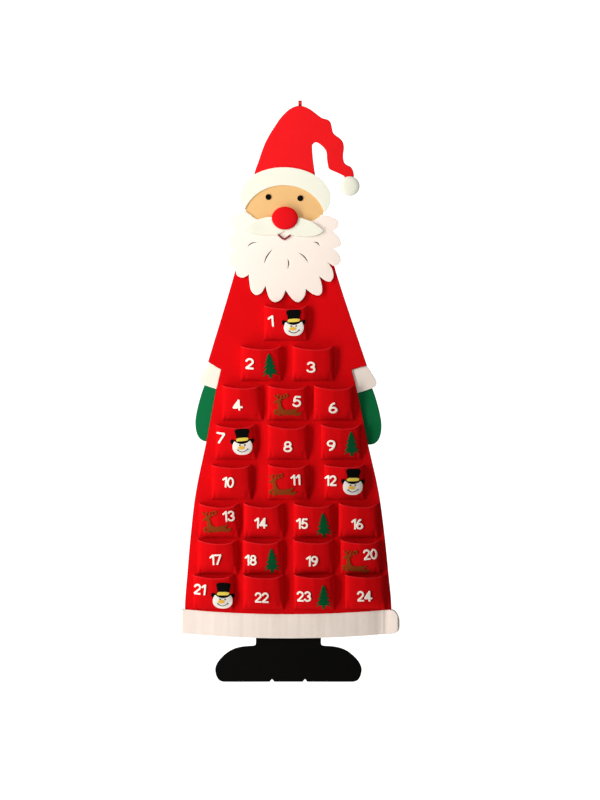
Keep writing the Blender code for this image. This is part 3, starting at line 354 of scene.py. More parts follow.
class Wire:
    """An output of a material's node tree. Operators on values add Math nodes."""

    def __init__(self, tree, socket=None):
        self.tree = tree
        self.socket = socket

    def node(self, kind, settings=None, sockets=None, output=0):
        """Add a node: its settings first, then the values or wires of its sockets."""
        made = self.tree.nodes.new(kind)
        for key, value in (settings or {}).items():
            setattr(made, key, value)
        for key, value in (sockets or {}).items():
            if isinstance(value, Wire):
                self.tree.links.new(value.socket, made.inputs[key])
            else:
                made.inputs[key].default_value = value
        return Wire(self.tree, made.outputs[output])

    def maths(self, operation, *values):
        return self.node("ShaderNodeMath", {"operation": operation}, dict(enumerate(values)))

    def __add__(self, other):
        return self.maths("ADD", self, other)

    __radd__ = __add__

    def __sub__(self, other):
        return self.maths("SUBTRACT", self, other)

    def __rsub__(self, other):
        return self.maths("SUBTRACT", other, self)

    def __mul__(self, other):
        return self.maths("MULTIPLY", self, other)

    def mixed(self, first, second):
        """Two colours mixed, with this value as the share of the second."""
        settings = {"data_type": "RGBA"}
        return self.node("ShaderNodeMix", settings, {0: self, 6: first, 7: second}, output=2)


def linear(colour):
    """An sRGB colour, 0 to 255, as linear values with alpha."""
    shares = [channel / 255 for channel in colour]
    return (*(s / 12.92 if s <= 0.04045 else ((s + 0.055) / 1.055) ** 2.4 for s in shares), 1.0)


def scaled(colour, factor):
    return (*(min(1.0, channel * factor) for channel in colour[:3]), 1.0)


def new_material(name):
    """A material, its Principled shader, and a wire to start its nodes from."""
    material = bpy.data.materials.new(name)
    material.use_nodes = True
    tree = material.node_tree
    return material, tree.nodes["Principled BSDF"], Wire(tree)


def felt(name, colour, cut=None, fleck=0.10, cloud=0.05, gloss=0.1, sheen=0.15, fuzz=0.0004, painted_shade=False):
    """Needled felt: matted fibres, soft clouds of colour, and an edge colour: paler fibres by default; a given one
    is painted edge shade on the robe and hat, and paler fibres with a painted highlight on the pocket rims.

    Where painted shade is asked for, the felt is darkened where another piece covers it: painted shade for the
    little light that comes in there.
    """
    material, shader, start = new_material(name)
    base = linear(colour)
    place = start.node("ShaderNodeTexCoord", output=3)
    clouds = start.node("ShaderNodeTexNoise", {}, {"Vector": place, "Scale": 28.0, "Detail": 3.0})
    fibres = start.node(
        "ShaderNodeTexNoise",
        {},
        {"Vector": place, "Scale": 950.0, "Detail": 5.0, "Roughness": 0.7, "Distortion": 2.2},
    )
    pits = start.node(
        "ShaderNodeTexVoronoi",
        {"feature": "SMOOTH_F1"},
        {"Vector": place, "Scale": 620.0, "Smoothness": 0.6, "Randomness": 1.0},
    )
    edge = start.node("ShaderNodeAttribute", {"attribute_name": "edge_tone_and_painted_light"}, output=2)
    shade = 0.5 + (clouds - 0.5) * (cloud * 8) + (fibres - 0.5) * (fleck * 8)
    ground = shade.mixed(scaled(base, 1 - fleck - cloud), scaled(base, 1 + fleck + cloud))
    # The marked edges take the edge colour: paler fibres, or painted edge shade or a painted highlight where a
    # felt is given one
    lit = (edge * EDGE_TONE_AND_LIGHT_SHARE).mixed(ground, linear(cut) if cut else scaled(base, 1.22))
    # Painted shade where another piece covers this felt
    if painted_shade:
        shade_mask = start.node("ShaderNodeAttribute", {"attribute_name": "painted_beard_shade"}, output=2)
        lit = shade_mask.mixed(lit, scaled(base, BEARD_PAINTED_SHADE_SHARE))
    tree = start.tree
    tree.links.new(lit.socket, shader.inputs["Base Color"])
    height = fibres * 0.75 + pits * 0.6 + clouds * 0.8
    bump = start.node("ShaderNodeBump", {}, {"Height": height, "Strength": 0.55, "Distance": fuzz})
    tree.links.new(bump.socket, shader.inputs["Normal"])
    rough = 0.98 - fibres * 0.1
    tree.links.new(rough.socket, shader.inputs["Roughness"])
    shader.inputs["Specular IOR Level"].default_value = gloss
    shader.inputs["Sheen Weight"].default_value = sheen
    shader.inputs["Sheen Roughness"].default_value = 0.6
    shader.inputs["Sheen Tint"].default_value = scaled(base, 1.4)
    return material


def thread(name, colour):
    """Twisted yarn: fine slanting plies and a soft gloss."""
    material, shader, start = new_material(name)
    base = linear(colour)
    place = start.node("ShaderNodeTexCoord", output=3)
    plies = start.node(
        "ShaderNodeTexWave",
        {"wave_type": "BANDS", "bands_direction": "DIAGONAL"},
        {"Vector": place, "Scale": 120.0, "Distortion": 0.6, "Detail": 1.0},
        output=1,
    )
    shade = plies.mixed(scaled(base, 0.78), scaled(base, 1.15))
    start.tree.links.new(shade.socket, shader.inputs["Base Color"])
    bump = start.node("ShaderNodeBump", {}, {"Height": plies, "Strength": 0.5, "Distance": 0.0003})
    start.tree.links.new(bump.socket, shader.inputs["Normal"])
    shader.inputs["Roughness"].default_value = 0.62
    shader.inputs["Specular IOR Level"].default_value = 0.3
    return material


def floor_finish():
    """A plain pale floor that fades out towards its rim."""
    material, shader, start = new_material("pale floor")
    shader.inputs["Base Color"].default_value = (0.93, 0.93, 0.93, 1)
    shader.inputs["Roughness"].default_value = 0.9
    shader.inputs["Emission Color"].default_value = (1, 1, 1, 1)
    shader.inputs["Emission Strength"].default_value = FLOOR_GLOW
    place = start.node("ShaderNodeTexCoord", output=3)
    radius = start.node("ShaderNodeVectorMath", {"operation": "LENGTH"}, {0: place}, output=1)
    inner, outer = FLOOR_FADE
    fade = start.node(
        "ShaderNodeMapRange",
        {"interpolation_type": "SMOOTHSTEP"},
        {"Value": radius, "From Min": inner, "From Max": outer, "To Min": 0.0, "To Max": 1.0},
    )
    clear = start.node("ShaderNodeBsdfTransparent")
    solid = Wire(start.tree, shader.outputs[0])
    mixed = start.node("ShaderNodeMixShader", {}, {0: fade, 1: solid, 2: clear})
    end = start.tree.nodes["Material Output"]
    start.tree.links.new(mixed.socket, end.inputs["Surface"])
    return material


FINISHES = {
    # The red's paler edge colour is paler cut fibres and also a painted highlight along the pocket rims
    "red_felt": felt("red felt", (212, 8, 14), cut=(230, 40, 46), gloss=0.04, sheen=0.10),
    "white_felt": felt("white felt", (234, 232, 214), fleck=0.04, cloud=0.02, gloss=0.1),
    "cream_felt": felt("cream felt", (247, 231, 218), fleck=0.04, cloud=0.02, gloss=0.1),
    "tan_felt": felt("tan felt", (228, 181, 120), fleck=0.05),
    "green_felt": felt("green felt", (14, 106, 59), gloss=0.04),
    "brown_felt": felt("brown felt", (134, 58, 18), gloss=0.04),
    "black_felt": felt("black felt", (11, 10, 9), gloss=0.05, sheen=0.02),
    "nose_felt": felt("nose felt", (222, 14, 22)),
    "dark_red_cord": thread("dark red cord", (128, 10, 22)),
    "red_ribbon": thread("red ribbon", (206, 30, 30)),
}
# The robe's felt carries painted shade behind the beard, and its darker cut edge is painted edge shade
ROBE_FELT = felt("robe felt", (214, 8, 14), cut=(128, 8, 16), gloss=0.04, sheen=0.10, painted_shade=True)
# The hat's red is a lighter copy of the robe's: painted light for the top lamp's pool on the head; its darker cut
# edge is painted edge shade
HAT_FELT_PAINTED_LIGHTER = felt("hat felt painted lighter", (229, 26, 30), cut=(140, 8, 16), gloss=0.04, sheen=0.10)
FIR_FELT = felt("fir green felt", (4, 84, 44), gloss=0.04)
YELLOW_FELT = felt("yellow felt", (246, 214, 86))
CARROT_FELT = felt("carrot felt", (246, 188, 66))
FACE_FELT = felt("snowman felt", (252, 242, 230), fleck=0.05, cloud=0.02, gloss=0.3)
NUMBER_FELT = felt("number felt", (255, 240, 224), fleck=0.04, cloud=0.02, gloss=0.3, fuzz=0.0002)
RED_THREAD = thread("red thread", (188, 10, 18))
DARK_THREAD = thread("dark thread", (32, 24, 22))


def mesh_object(name, points, faces, edge_values=None):
    """A mesh object whose faces point out, with its cut edges marked for the felt's edge colour, which on some
    felts is painted edge shade or a painted highlight.
    """
    mesh = bpy.data.meshes.new(name)
    mesh.from_pydata([tuple(point) for point in points], [], faces)
    marks = mesh.attributes.new("edge_tone_and_painted_light", "FLOAT", "POINT")
    if edge_values:
        marks.data.foreach_set("value", np.array(edge_values, np.float32))
    work = bmesh.new()
    work.from_mesh(mesh)
    bmesh.ops.remove_doubles(work, verts=work.verts, dist=WELD)
    bmesh.ops.recalc_face_normals(work, faces=work.faces)
    for face in work.faces:
        face.smooth = True
    work.to_mesh(mesh)
    work.free()
    obj = bpy.data.objects.new(name, mesh)
    bpy.context.scene.collection.objects.link(obj)
    return obj


def dressed(obj, material, body, slot=None):
    """Give a piece its finish and its body."""
    obj.data.materials.append(material)
    if body:
        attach(obj, body)
    return obj


def tube_faces(rings, count, first=0, capped=True):
    """Faces round a tube of rings with count points each, and over its two ends."""
    faces = []
    for ring in range(rings - 1):
        for step in range(count):
            a = first + ring * count + step
            b = first + ring * count + (step + 1) % count
            faces.append((a, b, b + count, a + count))
    if capped:
        last = first + (rings - 1) * count
        faces.append(tuple(range(first, first + count))[::-1])
        faces.append(tuple(range(last, last + count)))
    return faces


def even_normals(obj):
    """Let the broad faces set the shading, so that a rounded edge doesn't tint them."""
    weighted = obj.modifiers.new("even normals", "WEIGHTED_NORMAL")
    weighted.weight = 100
    weighted.keep_sharp = False


def chained(following):
    """Closed loops of keys, from a map of each key to the next one."""
    loops = []
    left = dict(following)
    while left:
        start = next(iter(left))
        loop = [start]
        key = left.pop(start)
        while key != start and key in left:
            loop.append(key)
            key = left.pop(key)
        loops.append(loop)
    return sorted(loops, key=len, reverse=True)


def front_loops(node):
    """Outlines (x, z) of a CAD sheet's front, each with the felt on its left."""
    work = bmesh.new()
    work.from_mesh(frame["nodes"][node].data)
    bmesh.ops.remove_doubles(work, verts=work.verts, dist=WELD)
    front = {face for face in work.faces if face.normal.y < FRONT_NORMAL}
    following = {}
    for face in front:
        for corner in face.loops:
            if not all(other in front for other in corner.edge.link_faces):
                following[corner.vert.index] = corner.link_loop_next.vert.index
    work.verts.ensure_lookup_table()
    places = {vert.index: (vert.co.x, vert.co.z) for vert in work.verts}
    work.free()
    return [[places[key] for key in loop] for loop in chained(following)]


def smooth_curve(points, steps, closed=False):
    """A smooth curve through points, with this many steps from each to the next."""
    ends = [Vector(point) for point in points]
    if closed:
        ends = [ends[-1], *ends, ends[0], ends[1]]
    else:
        ends = [2 * ends[0] - ends[1], *ends, 2 * ends[-1] - ends[-2]]
    found = []
    for p0, p1, p2, p3 in zip(ends, ends[1:], ends[2:], ends[3:]):
        for step in range(steps):
            t = step / steps
            a = 2 * p1 + (p2 - p0) * t
            b = (2 * p0 - 5 * p1 + 4 * p2 - p3) * t**2 + (3 * p1 - p0 - 3 * p2 + p3) * t**3
            found.append(tuple((a + b) / 2))
    if not closed:
        found.append(tuple(ends[-2]))
    return found


def lengths_along(points):
    """Distance of each point from the first, along their line."""
    return np.concatenate([[0], np.cumsum(np.linalg.norm(np.diff(points, axis=0), axis=1))])


def softened(outline, step=OUTLINE_STEP):
    """An outline curved smoothly between its corners, with a point about every step."""
    count = len(outline)
    points = [Vector(point) for point in outline]
    runs = [points[(i + 1) % count] - points[i] for i in range(count)]
    tangents = []
    for i in range(count):
        before, after = runs[i - 1], runs[i]
        turn = before.angle(after, 0.0)
        if turn > math.radians(CORNER_DEG):
            tangents.append((before.normalized(), after.normalized()))
        else:
            both = (before + after).normalized()
            tangents.append((both, both))
    found = []
    for i in range(count):
        start, end, run = points[i], points[(i + 1) % count], runs[i]
        leave = tangents[i][1] * run.length
        arrive = tangents[(i + 1) % count][0] * run.length
        pieces = max(1, math.ceil(run.length / step))
        for piece in range(pieces):
            t = piece / pieces
            found.append(
                tuple(
                    start * (2 * t**3 - 3 * t**2 + 1)
                    + leave * (t**3 - 2 * t**2 + t)
                    + end * (3 * t**2 - 2 * t**3)
                    + arrive * (t**3 - t**2)
                )
            )
    return found


def inset_rays(outline):
    """For each point of an outline, the direction to its left, into the felt."""
    rays = []
    for i, point in enumerate(outline):
        before = Vector(point) - Vector(outline[i - 1])
        after = Vector(outline[(i + 1) % len(outline)]) - Vector(point)
        along = (before.normalized() + after.normalized()).normalized()
        rays.append(Vector((-along.y, along.x)))
    return rays


def inset_limits(outline, rays, inset):
    """The share of an inset that each point can take, so that narrow tips don't fold over."""
    points, ways = np.array(outline), np.array(rays)
    runs = np.roll(points, -1, axis=0) - points
    between = points[None, :, :] - points[:, None, :]
    across = ways[:, None, 0] * runs[None, :, 1] - ways[:, None, 1] * runs[None, :, 0]
    across[np.abs(across) < TINY] = np.inf
    reach = (between[..., 0] * runs[None, :, 1] - between[..., 1] * runs[None, :, 0]) / across
    along = (between[..., 0] * ways[:, None, 1] - between[..., 1] * ways[:, None, 0]) / across
    met = (reach > WELD) & (along >= 0) & (along <= 1)
    clearance = np.where(met, reach, np.inf).min(axis=1)
    return np.minimum(1.0, INSET_CLEARANCE_SHARE * clearance / inset).tolist()


def is_inside(point, loops):
    """Whether a point lies within the felt, by counting the edges to its right."""
    x, z = point
    crossings = 0
    for loop in loops:
        for (x0, z0), (x1, z1) in zip(loop, [*loop[1:], loop[0]]):
            if (z0 > z) != (z1 > z) and x < x0 + (z - z0) / (z1 - z0) * (x1 - x0):
                crossings += 1
    return crossings % 2 == 1


def closed_edges(first, count):
    """Edges of a closed loop of count points, given the first one's index."""
    return [(first + i, first + (i + 1) % count) for i in range(count)]


def triangles_where(points, edges, is_felt):
    """Corners and triangles between edges, kept where is_felt holds for their middle."""
    corners, _, faces, *_ = delaunay_2d_cdt([Vector(p) for p in points], edges, [], 0, WELD)
    kept = []
    for face in faces:
        if is_felt(sum((corners[i] for i in face), Vector((0, 0))) / len(face)):
            kept.append(tuple(face))
    return [tuple(corner) for corner in corners], kept


def filled(loops, spacing):
    """Flat triangles between loops, with a grid of points inside where the sheet is large."""
    points, edges = [], []
    for loop in loops:
        edges += closed_edges(len(points), len(loop))
        points += loop
    edge_points = np.array(points)
    low, high = edge_points.min(axis=0).tolist(), edge_points.max(axis=0).tolist()
    columns, rows = (int((b - a) / spacing) for a, b in zip(low, high))
    for row in range(1, rows + 1):
        for column in range(1, columns + 1):
            x = low[0] + (high[0] - low[0]) * column / (columns + 1)
            z = low[1] + (high[1] - low[1]) * row / (rows + 1)
            near = np.abs(edge_points - (x, z)).max(axis=1).min()
            if near > spacing / 3 and is_inside((x, z), loops):
                points.append((x, z))
    return triangles_where(points, edges, lambda middle: is_inside(middle, loops))


def edge_profile(thickness):
    """How a cut edge rounds over: pairs of inset from the outline and height above the back."""
    radius = thickness * EDGE_ROUND_SHARE
    quarter = [(1 - math.sin(a), 1 - math.cos(a)) for a in (0, math.pi / 4, math.pi / 2)]
    back = [(inset * radius, up * radius) for inset, up in quarter]
    return back + [(inset, thickness - up) for inset, up in reversed(back)]


def plate(name, loops, back, thickness, spacing=SHEET_GRID):
    """A sheet of felt cut to loops, its edges rounded over. back(x, z) is its back face's Y."""
    points, faces, marks = [], [], []
    profile = edge_profile(thickness)
    rings = []
    for loop in loops:
        rays = inset_rays(loop)
        limits = inset_limits(loop, rays, profile[0][0])
        rays = [ray * limit for ray, limit in zip(rays, limits)]
        first = len(points)
        for level, (inset, up) in enumerate(profile):
            for point, ray in zip(loop, rays):
                x, z = Vector(point) + ray * inset
                points.append((x, back(x, z) - up, z))
                # Rounded edge faces are marked for the edge colour, which on the robe and hat is painted edge
                # shade
                marks.append(0.0 if level in (0, len(profile) - 1) else 1.0)
        faces += tube_faces(len(profile), len(loop), first, capped=False)
        inset = profile[0][0]
        rings.append([tuple(Vector(point) + ray * inset) for point, ray in zip(loop, rays)])
    corners, triangles = filled(rings, spacing)
    for up, flip in ((0.0, False), (thickness, True)):
        first = len(points)
        points += [(x, back(x, z) - up, z) for x, z in corners]
        marks += [0.0] * len(corners)
        for triangle in triangles:
            order = triangle[::-1] if flip else triangle
            faces.append(tuple(first + i for i in order))
    obj = mesh_object(name, points, faces, marks)
    even_normals(obj)
    return obj


def loop_area(loops):
    """Area between loops: holes run the other way round, so they take away."""
    total = 0.0
    for loop in loops:
        for (x0, z0), (x1, z1) in zip(loop, [*loop[1:], loop[0]]):
            total += (x0 * z1 - x1 * z0) / 2
    return abs(total)


def declare_sheet(obj, loops):
    """Work out a hung sheet's flat size and area from its loops; neither is kept or passed on."""
    xs = [point[0] for loop in loops for point in loop]
    zs = [point[1] for loop in loops for point in loop]
    size = (max(xs) - min(xs), max(zs) - min(zs))
    loop_area(loops)


def layer_of(node):
    """Back face's Y and thickness of a flat CAD sheet."""
    low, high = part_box(node)
    return high.y, high.y - low.y


def felt_piece(node, body="calendar", lift=None, step=OUTLINE_STEP, material=None):
    """Replace a flat CAD sheet with felt of the same outline, laid where the node lies."""
    back_y, thickness = layer_of(node)
    loops = [softened(loop, step) for loop in front_loops(node)]

    def back(x, z):
        return back_y + sway(x, z) - (lift(x, z) if lift else 0.0)

    obj = plate(f"{node}_felt", loops, back, thickness)
    # Painted shade: the robe's front is marked darker behind the beard, fading out round it
    if node == "robe":
        shade_mask = obj.data.attributes.new("painted_beard_shade", "FLOAT", "POINT")
        for vertex, value in zip(obj.data.vertices, shade_mask.data):
            x, y, z = vertex.co
            spans = [(a - b) / c for a, b, c in zip((x, z), BEHIND_BEARD, BEHIND_BEARD_HALF)]
            beyond = (spans[0] ** 2 + spans[1] ** 2 - 1) / BEHIND_BEARD_SOFT
            value.value = 1 - smooth(beyond) if y < back(x, z) - thickness / 2 else 0.0
    dressed(obj, material or FINISHES[SLOTS[node]], body, SLOTS[node])
    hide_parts(node)
    return obj, loops


def beard_lift(x, z):
    """The beard's lobes curl off the robe towards their tips."""
    return BEARD_LIFT * smooth((BEARD_FREE_Z - z) / BEARD_FREE_LENGTH)


def flat_felts():
    """The cut pieces that lie flat: backing, trims, and what is sewn behind."""
    robe, loops = felt_piece("robe", step=ROBE_STEP, material=ROBE_FELT)
    declare_sheet(robe, loops)
    # Painted light and shade: the hat takes a lighter red, and the right cuff a creamier felt than the left,
    # standing in for the light falling off and the red bounce on the right
    lit_and_shaded_felts = {"hat": HAT_FELT_PAINTED_LIGHTER, "cuff_right": FINISHES["cream_felt"]}
    for node in ("hat", "face", "brim", "cuff_left", "cuff_right", "mitten_left", "mitten_right"):
        obj, loops = felt_piece(node, material=lit_and_shaded_felts.get(node))
        declare_sheet(obj, loops)
    moustache_low, moustache_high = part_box("moustache")
    middle = (moustache_low + moustache_high) / 2
    half = (moustache_high.x - moustache_low.x) / 2

    def ends(x, z):
        beyond = abs(x - middle.x) / half - MOUSTACHE_HELD_SHARE
        return MOUSTACHE_LIFT * smooth(beyond / (1 - MOUSTACHE_HELD_SHARE))

    for node, lift in (("beard", beard_lift), ("moustache", ends)):
        obj, loops = felt_piece(node, lift=lift)
        declare_sheet(obj, loops)
    boots, loops = felt_piece("boots", body=None)
    hinge = next(joint for joint in frame["joints"] if joint["name"] == "boots_flap")
    x, y, z = hinge["pos_m"]
    z + BOOTS_BEND
    z - BOOTS_BEND
    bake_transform(boots)
    declare_sheet(boots, loops)


def rounded_side():
    """Stations across a pocket's front, from seam to seam: pairs of share across and share out."""
    fine = []
    for step in range(SIDE_STEPS + 1):
        angle = math.pi * step / SIDE_STEPS
        across = -math.copysign(abs(math.cos(angle)) ** (2 / POCKET_SIDE_POWER), math.cos(angle))
        crown = 1 - POCKET_CROWN_SHARE * across * across
        fine.append((across, crown * math.sin(angle) ** (2 / POCKET_ARCH_POWER)))
    points = np.array(fine) * (2.0, 1.0)
    lengths = lengths_along(points)
    places = np.linspace(0, lengths[-1], POCKET_COLUMNS + 1)
    across = np.interp(places, lengths, [station[0] for station in fine])
    out = np.interp(places, lengths, [station[1] for station in fine])
    return list(zip(across.tolist(), out.tolist()))


POCKET_STATIONS = rounded_side()


class Pocket:
    """One pocket's shape: a sheet sewn flat round three sides that stands off between them."""

    def __init__(self, number):
        chance = random.Random(number)
        self.node = f"pocket_{number:02d}"
        low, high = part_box(self.node)
        self.x = (low.x + high.x) / 2
        self.z = low.z
        self.width = high.x - low.x
        self.height = high.z - low.z
        self.back_y = high.y
        self.mouth = self.width / 2 - POCKET_SEAM
        self.rise = self.height - POCKET_SEAM
        self.depth = POCKET_DEPTH * chance.uniform(*POCKET_DEPTH_CHANCE)
        self.right_pinch, sag = POCKET_SHAPE_SHARES[number]
        self.left_pinch = chance.uniform(0.0, POCKET_LEFT_PINCH)
        self.sag = POCKET_SAG * sag
        self.lean = POCKET_LEFT_LEAN + chance.uniform(-POCKET_LEAN_CHANCE, POCKET_LEAN_CHANCE)
        self.ripples = [
            [chance.uniform(low, high) for low, high in POCKET_RIPPLE_CHANCES]
            for _ in range(POCKET_RIPPLES)
        ]

    def out_share(self, across):
        """The share of its depth that the front reaches at a share across."""
        crown = 1 - POCKET_CROWN_SHARE * across * across
        return crown * max(0.0, 1 - abs(across) ** POCKET_SIDE_POWER) ** (1 / POCKET_ARCH_POWER)

    def reach(self, across, up):
        """How far the sheet's back would stand off at full share out."""
        climb = min(1.0, max(0.0, up) * self.rise / POCKET_BELLY)
        base = (1 - (1 - climb) ** POCKET_BELLY_POWER) ** POCKET_BASE_POWER
        full = (1 - POCKET_LEAN_SHARE) * base + POCKET_LEAN_SHARE * up
        ripple = sum(
            math.sin(a * across + b) * math.sin(c * up + d) for a, b, c, d in self.ripples
        )
        tuck_across, tuck_up = POCKET_TUCK_PLACE
        tuck_width, tuck_height = POCKET_TUCK_SIZE
        aside = (abs(across) - tuck_across) / tuck_width
        corner = math.exp(-(aside**2) - ((up - tuck_up) / tuck_height) ** 2)
        curl = smooth((up - 1) * self.rise / POCKET_FLARE_HEIGHT + 1)
        out = self.depth * full * (1 + self.lean * across + POCKET_RIPPLE * ripple)
        return max(0.0, out - POCKET_TUCK * corner + POCKET_FLARE * curl)

    def pinch(self, across, up, out):
        """How far the standing sheet leans in from its seams towards the mouth, in shares."""
        share = self.right_pinch * (1 + across) / 2 - self.left_pinch * (1 - across) / 2
        return share * out * smooth(up) ** POCKET_PINCH_POWER

    def hang(self, across, up):
        """How far the rim and what is under it hang down at a share across."""
        off = across - POCKET_LOWEST_ACROSS
        left_power, right_power = POCKET_RIM_POWERS
        if off < 0:
            side = (-off / (1 + POCKET_LOWEST_ACROSS)) ** left_power
        else:
            side = (off / (1 - POCKET_LOWEST_ACROSS)) ** right_power
        return self.sag * max(0.0, up) ** POCKET_HANG_POWER * max(0.0, 1 - side)

    def place(self, across, out, up):
        """A point of the sheet's back."""
        x = self.x + (across - self.pinch(across, up, out)) * self.mouth
        z = self.z + POCKET_SEAM + up * self.rise - self.hang(across, up)
        return Vector((x, self.back_y + sway(x, z) - out * self.reach(across, up), z))

    def front(self, x, z):
        """Y of the outer face at x, z. Past DRAPE_ACROSS it runs straight on, as stiff felt does."""
        level = (z - self.z - POCKET_SEAM) / self.rise
        sought = (x - self.x) / self.mouth
        across, up = sought, level
        for _ in range(DRAPE_TRIES):
            limit = max(-DRAPE_ACROSS, min(DRAPE_ACROSS, across))
            up = max(0.0, min(1.0, level + self.hang(limit, up) / self.rise))
            across = sought + self.pinch(limit, up, self.out_share(limit))
        limit = max(-DRAPE_ACROSS, min(DRAPE_ACROSS, across))
        off = self.out_share(limit) * self.reach(limit, up)
        if across != limit:
            inner = limit * DRAPE_SLOPE_SHARE
            slope = (off - self.out_share(inner) * self.reach(inner, up)) / (limit - inner)
            off += slope * (across - limit)
        return self.back_y + sway(x, z) - off - POCKET_FELT

    def seam(self):
        """The line of stitches along the sewn edges, on the seam's face."""
        inset = POCKET_SEAM / 2
        left, right = self.x - self.width / 2 + inset, self.x + self.width / 2 - inset
        top, bottom = self.z + self.height - inset, self.z + inset
        corners = ((left, top), (left, bottom), (right, bottom), (right, top))
        return [Vector((x, self.back_y + sway(x, z) - POCKET_FELT, z)) for x, z in corners]


def pocket_felt(pocket):
    """The pocket's sheet: seam allowance, bulging front and a rounded rim."""
    band = RIM_BAND / pocket.rise
    ups = [(1 - band) * (i / POCKET_ROWS) ** POCKET_ROW_POWER for i in range(POCKET_ROWS + 1)]
    ups += [1 - band * (1 - i / RIM_BAND_ROWS) for i in range(1, RIM_BAND_ROWS + 1)]
    flange = POCKET_SEAM / pocket.mouth
    stations = [(-1 - flange, 0.0), *POCKET_STATIONS, (1 + flange, 0.0)]
    grid = []
    for up in (None, *ups):
        line = []
        for across, out in stations:
            if up is None or abs(across) > 1:
                x = pocket.x + across * pocket.mouth
                z = pocket.z if up is None else pocket.place(math.copysign(1, across), 0.0, up).z
                line.append(Vector((x, pocket.back_y + sway(x, z), z)))
            else:
                line.append(pocket.place(across, out, up))
        grid.append(line)
    rows, columns = len(grid), len(grid[0])
    back = np.array([[tuple(point) for point in line] for line in grid])
    upward = np.gradient(back, axis=0)
    normals = np.cross(np.gradient(back, axis=1), upward)
    normals /= np.linalg.norm(normals, axis=2, keepdims=True)
    # Towards the rim the felt thins, and this band is marked for the edge colour: on the red a painted highlight
    # along the rim as well as paler fibres
    near_rim = np.array([0.0, *(max(0.0, 1 - (1 - up) / band) ** 2 for up in ups)])
    felt_depth = (POCKET_FELT * (1 - RIM_THIN_SHARE * near_rim))[:, None, None]
    front = back + normals * felt_depth
    points = [tuple(point) for point in (*back.reshape(-1, 3), *front.reshape(-1, 3))]
    size = rows * columns
    marks = [0.0] * size + np.repeat(near_rim, columns).tolist()
    faces = []
    for r in range(rows - 1):
        for c in range(columns - 1):
            a = r * columns + c
            faces.append((a, a + columns, a + columns + 1, a + 1))
            faces.append((size + a, size + a + 1, size + a + columns + 1, size + a + columns))
    border = [(r, 0) for r in range(rows)][::-1] + [(0, c) for c in range(1, columns)]
    border += [(r, columns - 1) for r in range(1, rows)]
    for (r0, c0), (r1, c1) in zip(border, border[1:]):
        a, b = r0 * columns + c0, r1 * columns + c1
        faces.append((a, b, size + b, size + a))
    top = rows - 1
    rim = [[size + top * columns + c for c in range(columns)]]
    for step in range(1, RIM_STEPS):
        angle = math.pi * step / RIM_STEPS
        line = []
        for c in range(columns):
            middle = (back[top, c] + front[top, c]) / 2
            outward = upward[top, c] / np.linalg.norm(upward[top, c])
            swing = normals[top, c] * math.cos(angle) + outward * math.sin(angle)
            points.append(tuple(middle + swing * felt_depth[top, 0, 0] / 2))
            marks.append(1.0)
            line.append(len(points) - 1)
        rim.append(line)
    rim.append([top * columns + c for c in range(columns)])
    for lower, upper in zip(rim, rim[1:]):
        for c in range(columns - 1):
            faces.append((lower[c], lower[c + 1], upper[c + 1], upper[c]))
    for column, order in ((0, 1), (columns - 1, -1)):
        faces.append([line[column] for line in rim][::order])
    obj = mesh_object(f"{pocket.node}_felt", points, faces, marks)
    dressed(obj, FINISHES["red_felt"], "calendar", "red_felt")
    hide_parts(pocket.node)
    return obj


def stitches(name, corners, material):
    """A running stitch along a line of corners: short rounded threads, half sunk in the felt."""
    points, faces = [], []
    for start, end in zip(corners, corners[1:]):
        along = (end - start).normalized()
        side = along.cross(Vector((0, 1, 0))).normalized()
        count = max(1, round((end - start).length / (STITCH_LENGTH + STITCH_GAP)))
        pitch = (end - start).length / count
        for index in range(count):
            middle = start + along * pitch * (index + 0.5)
            first = len(points)
            for share, swell in STITCH_SHARES:
                centre = middle + along * share * STITCH_LENGTH / 2
                for step in range(STITCH_SIDES):
                    angle = 2 * math.pi * step / STITCH_SIDES
                    ring = side * math.cos(angle) + Vector((0, 1, 0)) * math.sin(angle)
                    points.append(centre + ring * STITCH_RADIUS * swell)
            faces += tube_faces(len(STITCH_SHARES), STITCH_SIDES, first)
    obj = mesh_object(name, points, faces)
    return dressed(obj, material, "calendar")


def arc(x, z, across, up, start_deg, end_deg):
    """Points of an elliptical arc, from one angle to another."""
    steps = max(2, round(abs(end_deg - start_deg) / STROKE_STEP_DEG))
    angles = [math.radians(start_deg + (end_deg - start_deg) * i / steps) for i in range(steps + 1)]
    return [(x + across * math.cos(a), z + up * math.sin(a)) for a in angles]


def upside_down(strokes):
    return [[(-x, 1 - z) for x, z in stroke] for stroke in strokes]


SIX_SHARES = [arc(0.0, 0.27, 0.33, 0.27, 0, 360), arc(0.24, 0.30, 0.57, 0.70, 180, 104)]
# Middle lines of each digit's strokes, in shares of their height
DIGIT_SHARES = {
    "0": [arc(0.0, 0.5, 0.32, 0.5, 0, 360)],
    "1": [[(0.12, 1.0), (0.12, 0.0)], [(0.12, 1.0), (-0.24, 0.77)]],
    "2": [[*arc(0.0, 0.71, 0.32, 0.29, 165, -42), (-0.33, 0.0), (0.34, 0.0)]],
    "3": [arc(-0.01, 0.75, 0.30, 0.25, 155, -70), arc(-0.01, 0.255, 0.35, 0.255, 80, -158)],
    "4": [[(0.17, 1.0), (-0.40, 0.26), (0.42, 0.26)], [(0.17, 1.0), (0.17, 0.0)]],
    "5": [[(0.28, 1.0), (-0.18, 1.0), (-0.24, 0.50)], arc(-0.01, 0.31, 0.34, 0.31, 137, -150)],
    "6": SIX_SHARES,
    "7": [[(-0.34, 1.0), (0.34, 1.0), (-0.11, 0.0)]],
    "8": [arc(0.0, 0.755, 0.27, 0.245, 0, 360), arc(0.0, 0.255, 0.335, 0.255, 0, 360)],
    "9": upside_down(SIX_SHARES),
}
